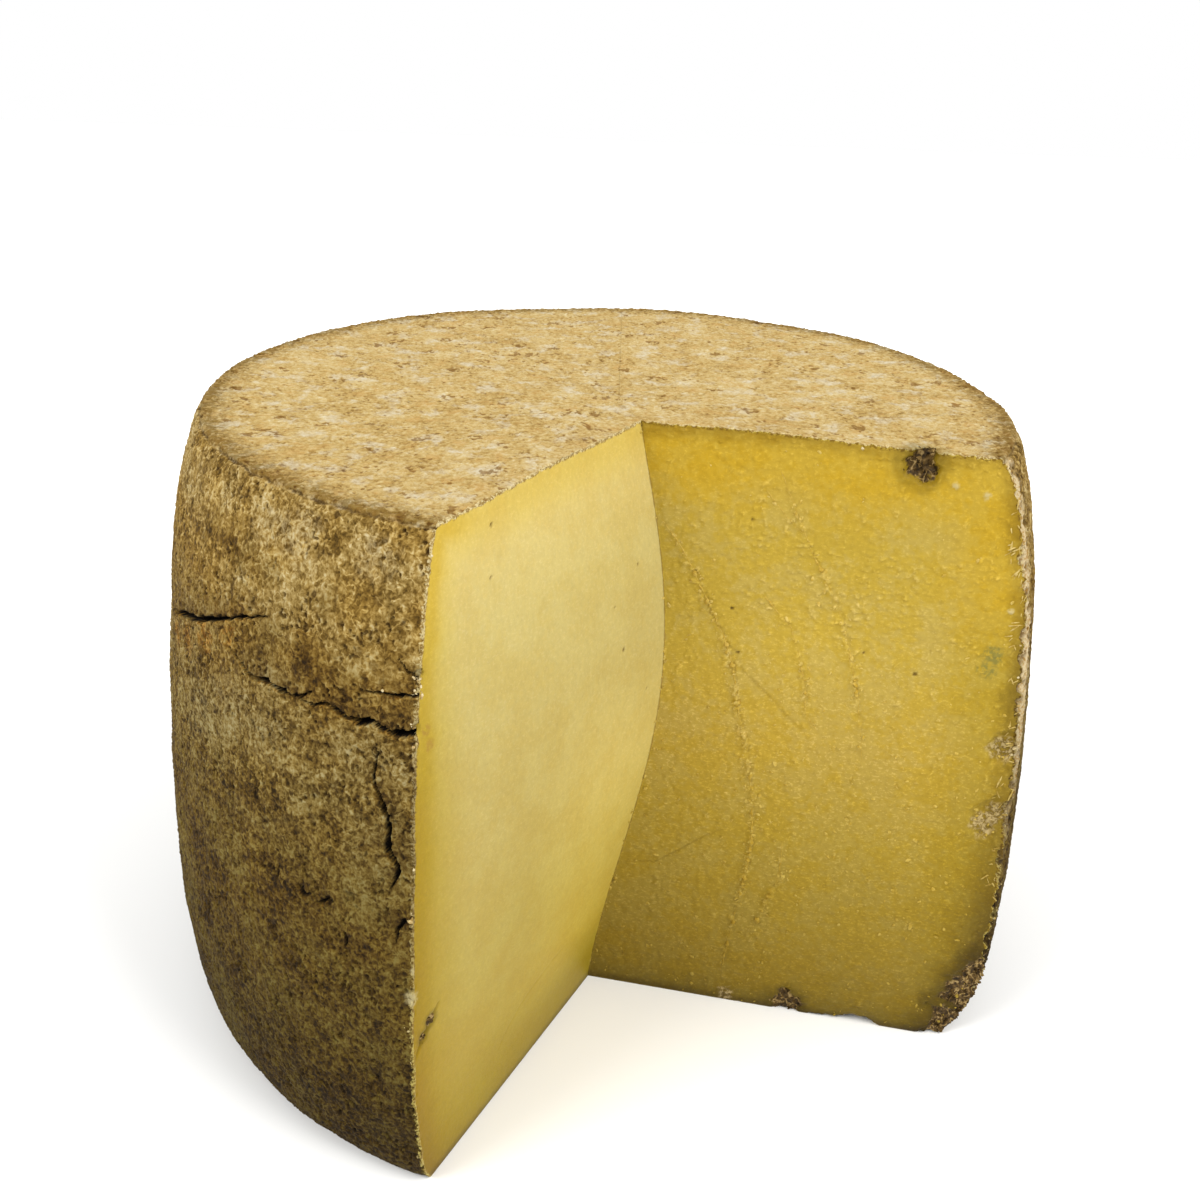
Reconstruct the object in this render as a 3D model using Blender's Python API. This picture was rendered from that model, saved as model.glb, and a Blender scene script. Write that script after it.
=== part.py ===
"""A large pressed cheese wheel standing on its flat base, with one sector cut away by a wire.

The origin is on the wheel's axis at the level of the base. The open sector faces -Y.
"""

import math

import bmesh
import bpy
from mathutils import Vector, noise

MM = 0.001

# Driving sizes of the barrel, in metres
WHEEL_HEIGHT = 0.300
BELLY_RADIUS = 0.214
BELLY_LEVEL = 0.068
TOP_RADIUS = 0.193
FOOT_RADIUS = 0.2045
SHOULDER_REACH = 0.009
SHOULDER_HEIGHT = 0.078
FOOT_REACH = 0.0055
FOOT_HEIGHT = 0.018

# The missing sector: its two outer edges are angles about the wheel's axis, in degrees
LEFT_CUT_TOP = 251.4
LEFT_CUT_BASE = 251.0
RIGHT_CUT_TOP = -25.5
RIGHT_CUT_BASE = -26.8
APEX_TOP = Vector((0.0148, -0.0414))
APEX_BASE = Vector((0.0, -0.0533))
APEX_BOW = 0.0233
BOW_SKEW = 1.31
BOW_POWER = 1.1

# Unevenness of the ripened wheel
SIDE_SWELL = 0.0016
SIDE_DIMPLE = 0.0008
SWELL_SIZE = 0.095
DIMPLE_SIZE = 0.028
TOP_DIP = 0.0016
TOP_DIP_SIZE = 0.080
FACE_WAVE = 0.0006
FACE_WAVE_SIZE = 0.060
EDGE_CRUMBLE = 0.0016
CRUMBLE_REACH = 0.007
CRUMBLE_SIZE = 0.011
EVEN_DIP = 0.5

# Each of these picks its own pattern of unevenness
SWELL_SEED = 3.7
DIMPLE_SEED = 11.2
TOP_DIP_SEED = 5.1
FACE_WAVE_SEED = 31.0
CRUMBLE_SEED = 23.0
HOLLOW_SEED = 41.0

# How finely each surface is divided
SIDE_COLUMNS = 84
EDGE_COLUMN_GAPS = (0.004, 0.011)
FOOT_ROWS = 4
BODY_ROWS = 16
SHOULDER_ROWS = 8
RINGS = (0.0, 0.09, 0.20, 0.32, 0.45, 0.58, 0.70, 0.81, 0.90, 0.965, 1.0)

# A crack has its widest opening and its depth in mm, the share of its length at which it is widest,
# and a route of (angle in degrees, height in mm)
CRACKS = {
    "long_crack_start": (1.9, 6.0, 0.6, (
        (223.4, 230.4), (226.6, 226.7), (228.3, 224.1), (230.6, 225.2), (235.4, 224.3), (236.7, 226.0),
        (238.0, 229.2),
    )),
    "long_crack": (2.7, 9.0, 0.75, (
        (236.2, 225.2), (238.5, 223.8), (239.5, 226.2), (240.6, 226.0), (244.5, 223.1), (245.9, 225.1),
        (248.8, 222.8), (251.2, 224.5), (253.0, 226.5),
    )),
    "shoulder_crack": (2.5, 7.0, 0.35, (
        (200.5, 216.0), (205.5, 220.4), (214.3, 229.6), (221.0, 238.4), (225.3, 244.6), (230.5, 250.6),
    )),
    "standing_crack": (3.1, 8.0, 0.72, (
        (246.9, 214.0), (246.4, 201.3), (247.6, 193.7), (248.5, 185.5), (248.2, 174.9), (249.5, 165.8),
        (248.7, 157.5),
    )),
    "short_crack": (1.5, 4.0, 0.5, ((244.9, 236.2), (248.6, 237.6), (254.0, 240.6))),
    "edge_crack": (1.2, 4.0, 0.5, ((248.9, 251.0), (250.8, 244.8))),
    "low_crack": (1.6, 3.0, 0.5, ((235.9, 134.2), (236.6, 132.0), (237.0, 134.6))),
    "foot_crack": (1.5, 4.0, 0.5, ((251.2, 146.0), (250.2, 140.0), (249.5, 135.0), (249.6, 131.0))),
    "back_crack": (2.6, 8.0, 0.5, (
        (96.0, 176.0), (101.5, 181.5), (106.0, 178.4), (111.0, 186.0), (117.5, 183.2), (124.0, 189.5),
    )),
    "back_standing_crack": (2.6, 7.0, 0.6, ((62.0, 208.0), (60.8, 196.0), (63.2, 184.0), (61.6, 168.0))),
    "side_crack": (2.2, 6.0, 0.4, ((6.0, 146.0), (11.5, 141.0), (16.0, 144.6), (22.5, 137.0))),
}
CRACK_OVERHANG = 0.003
CRACK_TIP = 0.18
CRACK_TAPER = 0.6
CRACK_OPEN_END = 0.8

# Crumbled hollows on the right cut face: (distance in from the rind, height, radius, depth) in mm
HOLLOWS = {
    "top_burrow": (39.0, 291.5, 9.5, 9.0),
    "foot_corner": (1.0, 4.0, 18.0, 6.0),
    "corner_pit": (6.0, 30.0, 12.5, 4.5),
    "foot_pit": (83.5, 3.0, 7.5, 5.0),
    "foot_chip": (44.0, -7.0, 11.0, 4.0),
    "upper_pocket": (6.0, 166.0, 8.5, 4.0),
    "lower_pocket": (8.0, 129.0, 10.5, 4.0),
}
HOLLOW_LUMP = 0.18
HOLLOW_LUMP_SIZE = 0.006

PASTE_COLOUR = (0.78, 0.58, 0.20, 1.0)
PASTE_ROUGHNESS = 0.55
RIND_COLOUR = (0.24, 0.17, 0.07, 1.0)
RIND_ROUGHNESS = 0.9
MOULD_COLOUR = (0.045, 0.030, 0.015, 1.0)
MOULD_ROUGHNESS = 0.95


def clear_scene():
    """Remove every object of the scene that the script starts in."""
    for item in list(bpy.data.objects):
        bpy.data.objects.remove(item, do_unlink=True)


def finish(name, colour, roughness):
    """Make a plain material with this colour and roughness."""
    material = bpy.data.materials.new(name)
    material.use_nodes = True
    shader = material.node_tree.nodes["Principled BSDF"]
    shader.inputs["Base Color"].default_value = colour
    shader.inputs["Roughness"].default_value = roughness
    shader.inputs["Metallic"].default_value = 0.0
    return material


def side_radius(height):
    """Radius of the plain barrel at a height: a belly with a soft shoulder and a rounded foot."""
    if height >= BELLY_LEVEL:
        share = (height - BELLY_LEVEL) / (WHEEL_HEIGHT - BELLY_LEVEL)
        radius = BELLY_RADIUS - (BELLY_RADIUS - TOP_RADIUS) * share ** 2
    else:
        share = (BELLY_LEVEL - height) / BELLY_LEVEL
        radius = BELLY_RADIUS - (BELLY_RADIUS - FOOT_RADIUS) * share ** 2
    over = max(0.0, height - (WHEEL_HEIGHT - SHOULDER_HEIGHT)) / SHOULDER_HEIGHT
    under = max(0.0, FOOT_HEIGHT - height) / FOOT_HEIGHT
    radius -= SHOULDER_REACH * (1.0 - math.sqrt(max(0.0, 1.0 - over ** 2)))
    radius -= FOOT_REACH * (1.0 - math.sqrt(max(0.0, 1.0 - under ** 2)))
    return radius


def apex(height):
    """Plan position of the line where the two cut faces meet, bowed out by the drag of the wire."""
    share = height / WHEEL_HEIGHT
    straight = APEX_BASE.lerp(APEX_TOP, share)
    along = Vector((math.cos(cut_angle(height, False)), math.sin(cut_angle(height, False))))
    bow = max(0.0, math.sin(math.pi * share ** BOW_SKEW)) ** BOW_POWER
    return straight + along * APEX_BOW * bow


def cut_angle(height, left):
    """Angle about the axis at which a cut meets the rind, in radians."""
    share = height / WHEEL_HEIGHT
    if left:
        degrees = LEFT_CUT_BASE + (LEFT_CUT_TOP - LEFT_CUT_BASE) * share
    else:
        degrees = RIGHT_CUT_BASE + (RIGHT_CUT_TOP - RIGHT_CUT_BASE) * share
    return math.radians(degrees)


def waves(point, size, seed):
    """Smooth unevenness between about -1 and 1, with features of the given size."""
    return noise.noise(Vector(point) / size + Vector((seed, 0.0, 0.0)))


def side_relief(point):
    """How far the ripened side stands out from the plain barrel at a point on it."""
    swell = SIDE_SWELL * waves(point, SWELL_SIZE, SWELL_SEED)
    return swell + SIDE_DIMPLE * waves(point, DIMPLE_SIZE, DIMPLE_SEED)


def settled(point):
    """Lower a point in step with the shallow dips of the top face, leaving the base flat."""
    dip = TOP_DIP * (EVEN_DIP + waves((point.x, point.y, 0.0), TOP_DIP_SIZE, TOP_DIP_SEED))
    return Vector((point.x, point.y, point.z * (1.0 - max(0.0, dip) / WHEEL_HEIGHT)))


def rind_point(angle, height, from_cut):
    """A point of the side rind, crumbled back where it is close to a cut."""
    plain = side_radius(height)
    spot = Vector((plain * math.cos(angle), plain * math.sin(angle), height))
    radius = plain + side_relief(spot)
    loss = max(0.0, waves(spot, CRUMBLE_SIZE, CRUMBLE_SEED)) * max(0.0, 1.0 - from_cut / CRUMBLE_REACH)
    radius -= EDGE_CRUMBLE * loss
    return Vector((radius * math.cos(angle), radius * math.sin(angle), height))


def row_heights():
    """Heights of the rows of the side: close at the foot and the shoulder, even between them."""
    heights = [FOOT_HEIGHT * (1.0 - math.cos(0.5 * math.pi * row / FOOT_ROWS)) for row in range(FOOT_ROWS)]
    body = WHEEL_HEIGHT - SHOULDER_HEIGHT - FOOT_HEIGHT
    heights += [FOOT_HEIGHT + body * row / BODY_ROWS for row in range(BODY_ROWS)]
    heights += [
        WHEEL_HEIGHT - SHOULDER_HEIGHT * (1.0 - math.sin(0.5 * math.pi * row / SHOULDER_ROWS))
        for row in range(SHOULDER_ROWS + 1)
    ]
    return heights


def column_shares():
    """Shares of the way round from the right cut to the left one, closer beside the cuts."""
    sweep = math.radians(LEFT_CUT_TOP - RIGHT_CUT_TOP) * BELLY_RADIUS
    near = [gap / sweep for gap in EDGE_COLUMN_GAPS]
    inner = [
        near[-1] + (1.0 - 2.0 * near[-1]) * column / SIDE_COLUMNS
        for column in range(1, SIDE_COLUMNS)
    ]
    return [0.0] + near + inner + [1.0 - share for share in reversed(near)] + [1.0]


def outer_point(share, height):
    """The rind's point at a share of the way round, at a height."""
    right = cut_angle(height, False)
    left = cut_angle(height, True)
    angle = right + (left - right) * share
    from_cut = min(share, 1.0 - share) * (left - right) * BELLY_RADIUS
    return rind_point(angle, height, from_cut)


def spoke_point(share, height, ring):
    """A point on the way from the apex line to the rind, on the top, the base or a cut face."""
    outside = outer_point(share, height)
    centre = apex(height)
    spot = Vector((centre.x, centre.y, height)).lerp(outside, ring)
    if share in (0.0, 1.0) and 0.0 < height < WHEEL_HEIGHT:
        across = (outside.xy - centre).normalized()
        wave = waves(spot, FACE_WAVE_SIZE, FACE_WAVE_SEED + share)
        push = FACE_WAVE * wave * math.sin(math.pi * ring)
        spot.x -= across.y * push
        spot.y += across.x * push
    return settled(spot)


def build_wheel():
    """Make the closed solid of the cut wheel from its side, top, base and two cut faces."""
    heights = row_heights()
    shares = column_shares()
    mesh = bmesh.new()
    spots = {}

    def corner(column, row, ring):
        key = (column if ring else 0, row, ring)
        if key not in spots:
            point = spoke_point(shares[column], heights[row], RINGS[ring])
            spots[key] = mesh.verts.new(point)
        return spots[key]

    def patch(*corners):
        different = list(dict.fromkeys(corners))
        mesh.faces.new(different)

    last_column = len(shares) - 1
    last_row = len(heights) - 1
    outside = len(RINGS) - 1
    for row in range(last_row):
        for column in range(last_column):
            patch(
                corner(column, row, outside), corner(column + 1, row, outside),
                corner(column + 1, row + 1, outside), corner(column, row + 1, outside),
            )
        for ring in range(outside):
            patch(
                corner(0, row, ring), corner(0, row, ring + 1),
                corner(0, row + 1, ring + 1), corner(0, row + 1, ring),
            )
            patch(
                corner(last_column, row, ring + 1), corner(last_column, row, ring),
                corner(last_column, row + 1, ring), corner(last_column, row + 1, ring + 1),
            )
    for column in range(last_column):
        for ring in range(outside):
            patch(
                corner(column, last_row, ring), corner(column, last_row, ring + 1),
                corner(column + 1, last_row, ring + 1), corner(column + 1, last_row, ring),
            )
            patch(
                corner(column, 0, ring), corner(column + 1, 0, ring),
                corner(column + 1, 0, ring + 1), corner(column, 0, ring + 1),
            )
    return as_object(mesh, "cheese_wheel")


def as_object(mesh, name):
    """Turn a bmesh into an object of the scene, with its faces turned outwards."""
    bmesh.ops.recalc_face_normals(mesh, faces=mesh.faces)
    bmesh.ops.triangulate(mesh, faces=mesh.faces)
    data = bpy.data.meshes.new(name)
    mesh.to_mesh(data)
    mesh.free()
    item = bpy.data.objects.new(name, data)
    bpy.context.scene.collection.objects.link(item)
    return item


def crack_cutter(name, width, depth, widest, route):
    """A thin blade along a route on the side, wide at the rind and sharp inside, closed at both tips."""
    spots = [settled(rind_point(math.radians(angle), height * MM, 1.0)) for angle, height in route]
    mesh = bmesh.new()
    rings = []
    for step, spot in enumerate(spots):
        before = spots[max(step - 1, 0)]
        after = spots[min(step + 1, len(spots) - 1)]
        outward = Vector((spot.x, spot.y, 0.0)).normalized()
        across = outward.cross(after - before).normalized()
        way = step / (len(spots) - 1)
        reach = widest if way < widest else 1.0 - widest
        swell = max(CRACK_TIP, (1.0 - abs(way - widest) / reach) ** CRACK_TAPER)
        if route[step][0] > LEFT_CUT_TOP:
            swell = CRACK_OPEN_END
        half = 0.5 * width * MM * swell
        deep = depth * MM * swell
        lip = half * (1.0 + CRACK_OVERHANG / deep)
        rings.append([
            mesh.verts.new(spot + outward * CRACK_OVERHANG + across * lip),
            mesh.verts.new(spot + outward * CRACK_OVERHANG - across * lip),
            mesh.verts.new(spot - outward * deep),
        ])
    for first, second in zip(rings, rings[1:]):
        for side in range(3):
            other = (side + 1) % 3
            mesh.faces.new((first[side], first[other], second[other], second[side]))
    mesh.faces.new(rings[0])
    mesh.faces.new(rings[-1])
    return as_object(mesh, name)


def right_face_point(inward, height):
    """A point of the right cut face, by its distance in from the rind and its height, with the way out."""
    level = min(max(height, 0.0), WHEEL_HEIGHT)
    outside = outer_point(0.0, level)
    centre = apex(level)
    along = (centre - outside.xy).normalized()
    spot = outside.xy + along * inward
    return Vector((spot.x, spot.y, height)), Vector((along.y, -along.x, 0.0))


def hollow_cutter(name, inward, height, radius, depth):
    """A lumpy ball that bites the right cut face to the given depth."""
    spot, outward = right_face_point(inward * MM, height * MM)
    if outward.y > 0.0:
        outward = -outward
    centre = spot + outward * (radius - depth) * MM
    mesh = bmesh.new()
    bmesh.ops.create_icosphere(mesh, subdivisions=2, radius=radius * MM)
    for vert in mesh.verts:
        vert.co *= 1.0 + HOLLOW_LUMP * waves(centre + vert.co, HOLLOW_LUMP_SIZE, HOLLOW_SEED)
        vert.co += centre
    return as_object(mesh, name)


def cut(body, cutter):
    """Take the cutter's shape out of the body with a Boolean that stays on it."""
    cutter.hide_render = True
    cutter.display_type = "WIRE"
    bite = body.modifiers.new(cutter.name, "BOOLEAN")
    bite.operation = "DIFFERENCE"
    bite.solver = "EXACT"
    bite.object = cutter


def main():
    """Build the wheel, then its cracks and its crumbled hollows."""
    clear_scene()
    paste = finish("paste", PASTE_COLOUR, PASTE_ROUGHNESS)
    rind = finish("rind", RIND_COLOUR, RIND_ROUGHNESS)
    mould = finish("mould", MOULD_COLOUR, MOULD_ROUGHNESS)
    wheel = build_wheel()
    wheel.data.materials.append(rind)
    wheel.data.materials.append(paste)
    for name, sizes in CRACKS.items():
        cutter = crack_cutter(name, *sizes)
        cutter.data.materials.append(rind)
        cut(wheel, cutter)
    for name, sizes in HOLLOWS.items():
        cutter = hollow_cutter(name, *sizes)
        cutter.data.materials.append(mould)
        cut(wheel, cutter)


main()
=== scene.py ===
"""Looks of a large pressed cheese wheel with one sector cut away: paste, rind, cracks, mould and crumbs.

Lengths are in metres, +Z is up, and the origin is on the wheel's axis at the level of its base.
"""

import logging
import math
from dataclasses import dataclass
from enum import Enum
from typing import Any, Mapping, Optional, Sequence, Union

import bpy
import numpy as np
from bpy.types import ColorRamp, Material, Mesh, NodeSocket, NodeTree, Object
from mathutils import Matrix, Vector, noise


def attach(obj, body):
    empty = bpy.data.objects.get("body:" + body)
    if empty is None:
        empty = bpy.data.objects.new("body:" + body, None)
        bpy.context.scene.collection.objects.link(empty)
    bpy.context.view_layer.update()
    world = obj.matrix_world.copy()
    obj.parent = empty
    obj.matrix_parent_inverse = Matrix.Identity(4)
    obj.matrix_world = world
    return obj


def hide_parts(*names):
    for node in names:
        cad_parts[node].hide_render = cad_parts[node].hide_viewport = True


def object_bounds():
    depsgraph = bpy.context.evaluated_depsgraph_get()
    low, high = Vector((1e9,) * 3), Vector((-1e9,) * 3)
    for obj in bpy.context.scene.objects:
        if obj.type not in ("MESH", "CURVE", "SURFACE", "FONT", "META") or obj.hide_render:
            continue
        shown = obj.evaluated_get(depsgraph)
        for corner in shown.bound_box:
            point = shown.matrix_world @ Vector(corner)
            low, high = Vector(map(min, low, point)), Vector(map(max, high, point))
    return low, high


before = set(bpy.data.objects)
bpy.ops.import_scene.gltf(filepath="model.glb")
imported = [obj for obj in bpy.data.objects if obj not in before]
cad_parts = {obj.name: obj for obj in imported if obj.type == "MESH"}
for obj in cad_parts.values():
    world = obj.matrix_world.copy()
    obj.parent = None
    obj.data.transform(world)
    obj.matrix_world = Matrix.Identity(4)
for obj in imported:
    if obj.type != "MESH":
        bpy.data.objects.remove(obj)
solid_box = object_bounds()

MM = 0.001
BODY = "root"
SOLID = "cheese_wheel"
# How far right of the axis the crumbly strip beside the right cut fades in
RIGHT_SIDE = (60.0 * MM, 120.0 * MM)

log = logging.getLogger("cheese_wheel")

Array = np.ndarray
Value = Union[float, Sequence[float], "Term"]
Triple = tuple[float, float, float]
Colour = tuple[float, float, float]
Stops = tuple[tuple[float, Colour], ...]
Pair = tuple[float, float]
Route = tuple[Pair, ...]


def srgb(red: int, green: int, blue: int) -> Colour:
    """Turn an 8-bit screen colour into the linear colour that a shader takes.

    Args:
        red: Red from 0 to 255.
        green: Green from 0 to 255.
        blue: Blue from 0 to 255.

    Returns:
        The linear red, green and blue.
    """
    shares = [part / 255.0 for part in (red, green, blue)]
    linear = [part / 12.92 if part <= 0.04045 else ((part + 0.055) / 1.055) ** 2.4 for part in shares]
    return (linear[0], linear[1], linear[2])


def smooth(value: Array, low: float, high: float) -> Array:
    """Rise smoothly from 0 at low to 1 at high."""
    share = np.clip((value - low) / (high - low), 0.0, 1.0)
    return share * share * (3.0 - 2.0 * share)


def waves(points: Array, size: float, seed: float) -> Array:
    """Smooth unevenness between about -1 and 1, with features of the given size.

    Args:
        points: Points, one to a row.
        size: Size of a feature, in metres.
        seed: Offset that picks another pattern.

    Returns:
        One value for each point.
    """
    flat = points.reshape(-1, 3) / size + np.array((seed, 0.0, 0.0))
    values = np.array([noise.noise(spot) for spot in flat.tolist()])
    return values.reshape(points.shape[:-1])


class Cut(Enum):
    """The two cut faces, by their share of the way round from the right cut to the left one."""

    RIGHT = 0.0
    LEFT = 1.0


@dataclass(frozen=True)
class WheelForm:
    """The barrel, the missing sector and the wheel's broad unevenness, with the solid's own sizes."""

    height: float = 0.300
    belly_radius: float = 0.214
    belly_level: float = 0.068
    top_radius: float = 0.193
    foot_radius: float = 0.2045
    shoulder_reach: float = 0.009
    shoulder_height: float = 0.078
    foot_reach: float = 0.0055
    foot_height: float = 0.018
    left_cut: Pair = (251.0, 251.4)
    right_cut: Pair = (-26.8, -25.5)
    apex_base: Pair = (0.0, -0.0533)
    apex_top: Pair = (0.0148, -0.0414)
    apex_bow: float = 0.0233
    bow_skew: float = 1.31
    bow_power: float = 1.1
    side_swell: float = 0.0016
    side_dimple: float = 0.0008
    top_dip: float = 0.0016
    face_wave: float = 0.0006
    edge_crumble: float = 0.0016
    crumble_reach: float = 0.007

    def side_radius(self, level: Array) -> Array:
        """Work out the radius of the plain barrel.

        Args:
            level: Heights above the base.

        Returns:
            The radius at each height.
        """
        over_belly = np.clip((level - self.belly_level) / (self.height - self.belly_level), 0.0, 1.0)
        under_belly = np.clip((self.belly_level - level) / self.belly_level, 0.0, 1.0)
        radius = self.belly_radius - (self.belly_radius - self.top_radius) * over_belly ** 2
        radius = radius - (self.belly_radius - self.foot_radius) * under_belly ** 2
        shoulder = np.clip((level - self.height + self.shoulder_height) / self.shoulder_height, 0.0, 1.0)
        foot = np.clip((self.foot_height - level) / self.foot_height, 0.0, 1.0)
        radius = radius - self.shoulder_reach * (1.0 - np.sqrt(1.0 - shoulder ** 2))
        return radius - self.foot_reach * (1.0 - np.sqrt(1.0 - foot ** 2))

    def cut_angle(self, level: Array, cut: Cut) -> Array:
        """Angle about the axis at which a cut meets the rind at each height, in radians."""
        base, top = self.left_cut if cut is Cut.LEFT else self.right_cut
        return np.radians(base + (top - base) * level / self.height)

    def apex(self, level: Array) -> Array:
        """Work out the line where the cut faces meet.

        Args:
            level: Heights above the base.

        Returns:
            Its plan position at each height.
        """
        share = np.clip(level / self.height, 0.0, 1.0)
        base = np.array(self.apex_base)
        top = np.array(self.apex_top)
        angle = self.cut_angle(level, Cut.RIGHT)
        along = np.stack([np.cos(angle), np.sin(angle)], axis=-1)
        sweep = np.sin(np.pi * share ** self.bow_skew)
        bow = self.apex_bow * np.clip(sweep, 0.0, 1.0) ** self.bow_power
        return base + (top - base) * share[..., None] + along * bow[..., None]

    def outer(self, share: Array, level: Array) -> Array:
        """Work out points of the side rind.

        Args:
            share: Shares of the way round from the right cut.
            level: Heights, as many as the shares.

        Returns:
            The points, not yet lowered with the top's dips.
        """
        right = self.cut_angle(level, Cut.RIGHT)
        left = self.cut_angle(level, Cut.LEFT)
        angle = right + (left - right) * share
        plain = self.side_radius(level)
        spot = np.stack([plain * np.cos(angle), plain * np.sin(angle), level], axis=-1)
        radius = plain + self.side_swell * waves(spot, 0.095, 3.7)
        radius = radius + self.side_dimple * waves(spot, 0.028, 11.2)
        from_cut = np.minimum(share, 1.0 - share) * (left - right) * self.belly_radius
        close = np.clip(1.0 - from_cut / self.crumble_reach, 0.0, 1.0)
        radius = radius - self.edge_crumble * close * np.clip(waves(spot, 0.011, 23.0), 0.0, None)
        return np.stack([radius * np.cos(angle), radius * np.sin(angle), level], axis=-1)

    def out_of_side(self, share: Array, level: Array) -> Array:
        """Find the way straight out of the side rind, which turns up at the shoulder and down at the foot.

        Args:
            share: Shares of the way round from the right cut.
            level: Heights, as many as the shares.

        Returns:
            One direction for each point.
        """
        step = 1e-5
        low = np.clip(level - step, 0.0, self.height)
        high = np.clip(level + step, 0.0, self.height)
        slope = (self.side_radius(high) - self.side_radius(low)) / (high - low)
        right = self.cut_angle(level, Cut.RIGHT)
        angle = right + (self.cut_angle(level, Cut.LEFT) - right) * share
        out = np.stack([np.cos(angle), np.sin(angle), -slope], axis=-1)
        return out / np.linalg.norm(out, axis=-1, keepdims=True)

    def along_face(self, cut: Cut, level: Array) -> Array:
        """Find the way along a cut face, from the apex line to the rind.

        Args:
            cut: The cut face.
            level: Heights above the base.

        Returns:
            One level direction for each height.
        """
        angle = self.cut_angle(level, cut)
        rind = self.side_radius(level)[..., None] * np.stack([np.cos(angle), np.sin(angle)], axis=-1)
        along = rind - self.apex(level)
        return along / np.linalg.norm(along, axis=-1, keepdims=True)

    def face_out(self, cut: Cut, level: Array) -> Array:
        """Level directions straight out of a cut face, one for each height."""
        along = self.along_face(cut, level) * (1.0 if cut is Cut.LEFT else -1.0)
        return np.stack([-along[..., 1], along[..., 0], np.zeros_like(level)], axis=-1)

    def on_face(self, cut: Cut, distance: Array, level: Array) -> Array:
        """Points of a cut face, by how far they are from the apex line and how high."""
        plan = self.apex(level) + self.along_face(cut, level) * distance[..., None]
        return self.settled(np.concatenate([plan, level[..., None]], axis=-1))

    def from_cut(self, cut: Cut, points: Array) -> Array:
        """How far each point lies behind a cut face."""
        out = self.face_out(cut, points[..., 2])[..., :2]
        return -np.sum((points[..., :2] - self.apex(points[..., 2])) * out, axis=-1)

    def from_edge(self, cut: Cut, points: Array) -> Array:
        """Measure how far points of the top or base are from a cut's edge.

        Args:
            cut: The cut face.
            points: The points.

        Returns:
            The distances.
        """
        level = points[..., 2]
        along = self.along_face(cut, level)[..., :2]
        reach = np.sum((points[..., :2] - self.apex(level)) * along, axis=-1)
        return np.hypot(self.from_cut(cut, points), np.minimum(reach, 0.0))

    def settled(self, points: Array) -> Array:
        """Lower points in step with the shallow dips of the top, leaving the base flat.

        Args:
            points: The points.

        Returns:
            The lowered points.
        """
        plan = points * np.array((1.0, 1.0, 0.0))
        dip = np.clip(self.top_dip * (0.5 + waves(plan, 0.080, 5.1)), 0.0, None)
        lowered = points.copy()
        lowered[..., 2] *= 1.0 - dip / self.height
        return lowered


class Term:
    """One socket of a node tree, which Python's operators combine into maths nodes."""

    def __init__(self, sheet: "NodeSheet", socket: NodeSocket) -> None:
        """Wrap an output socket of a tree."""
        self.sheet = sheet
        self.socket = socket

    @property
    def is_vector(self) -> bool:
        """Whether the socket carries a vector or a colour."""
        return self.socket.type in ("VECTOR", "RGBA")

    def __add__(self, other: Value) -> "Term":
        """Add a value, number by number."""
        return self.sheet.maths("ADD", self, other)

    __radd__ = __add__

    def __sub__(self, other: Value) -> "Term":
        """Take a value away."""
        return self.sheet.maths("SUBTRACT", self, other)

    def __rsub__(self, other: Value) -> "Term":
        """Take this away from a value."""
        return self.sheet.maths("SUBTRACT", other, self)

    def __mul__(self, other: Value) -> "Term":
        """Multiply by a value; a vector takes a number as its scale."""
        return self.sheet.maths("MULTIPLY", self, other)

    __rmul__ = __mul__

    def __truediv__(self, other: Value) -> "Term":
        """Divide by a value."""
        return self.sheet.maths("DIVIDE", self, other)

    def __rtruediv__(self, other: Value) -> "Term":
        """Divide a value by this."""
        return self.sheet.maths("DIVIDE", other, self)

    def __pow__(self, other: Value) -> "Term":
        """Raise to a power."""
        return self.sheet.maths("POWER", self, other)

    def __abs__(self) -> "Term":
        """The size of this, without its sign."""
        return self.sheet.node("ShaderNodeMath", {"operation": "ABSOLUTE"}, {0: self})

    def above(self, other: Value) -> "Term":
        """The larger of this and a value."""
        return self.sheet.maths("MAXIMUM", self, other)

    def below(self, other: Value) -> "Term":
        """The smaller of this and a value."""
        return self.sheet.maths("MINIMUM", self, other)

    def rise(self, low: Value, high: Value) -> "Term":
        """Rise smoothly from 0 at low to 1 at high; low may be the larger."""
        return self.sheet.node(
            "ShaderNodeMapRange",
            {"interpolation_type": "SMOOTHSTEP"},
            {"Value": self, "From Min": low, "From Max": high},
        )

    def part(self, axis: str) -> "Term":
        """One of a vector's X, Y and Z."""
        return self.sheet.node("ShaderNodeSeparateXYZ", {}, {"Vector": self}, axis)

    def length(self) -> "Term":
        """A vector's length."""
        return self.sheet.node("ShaderNodeVectorMath", {"operation": "LENGTH"}, {0: self}, "Value")

    def beside(self, output: str) -> "Term":
        """Another output of the node that this comes from."""
        return Term(self.sheet, self.sheet.pick(self.socket.node.outputs, output))


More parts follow.
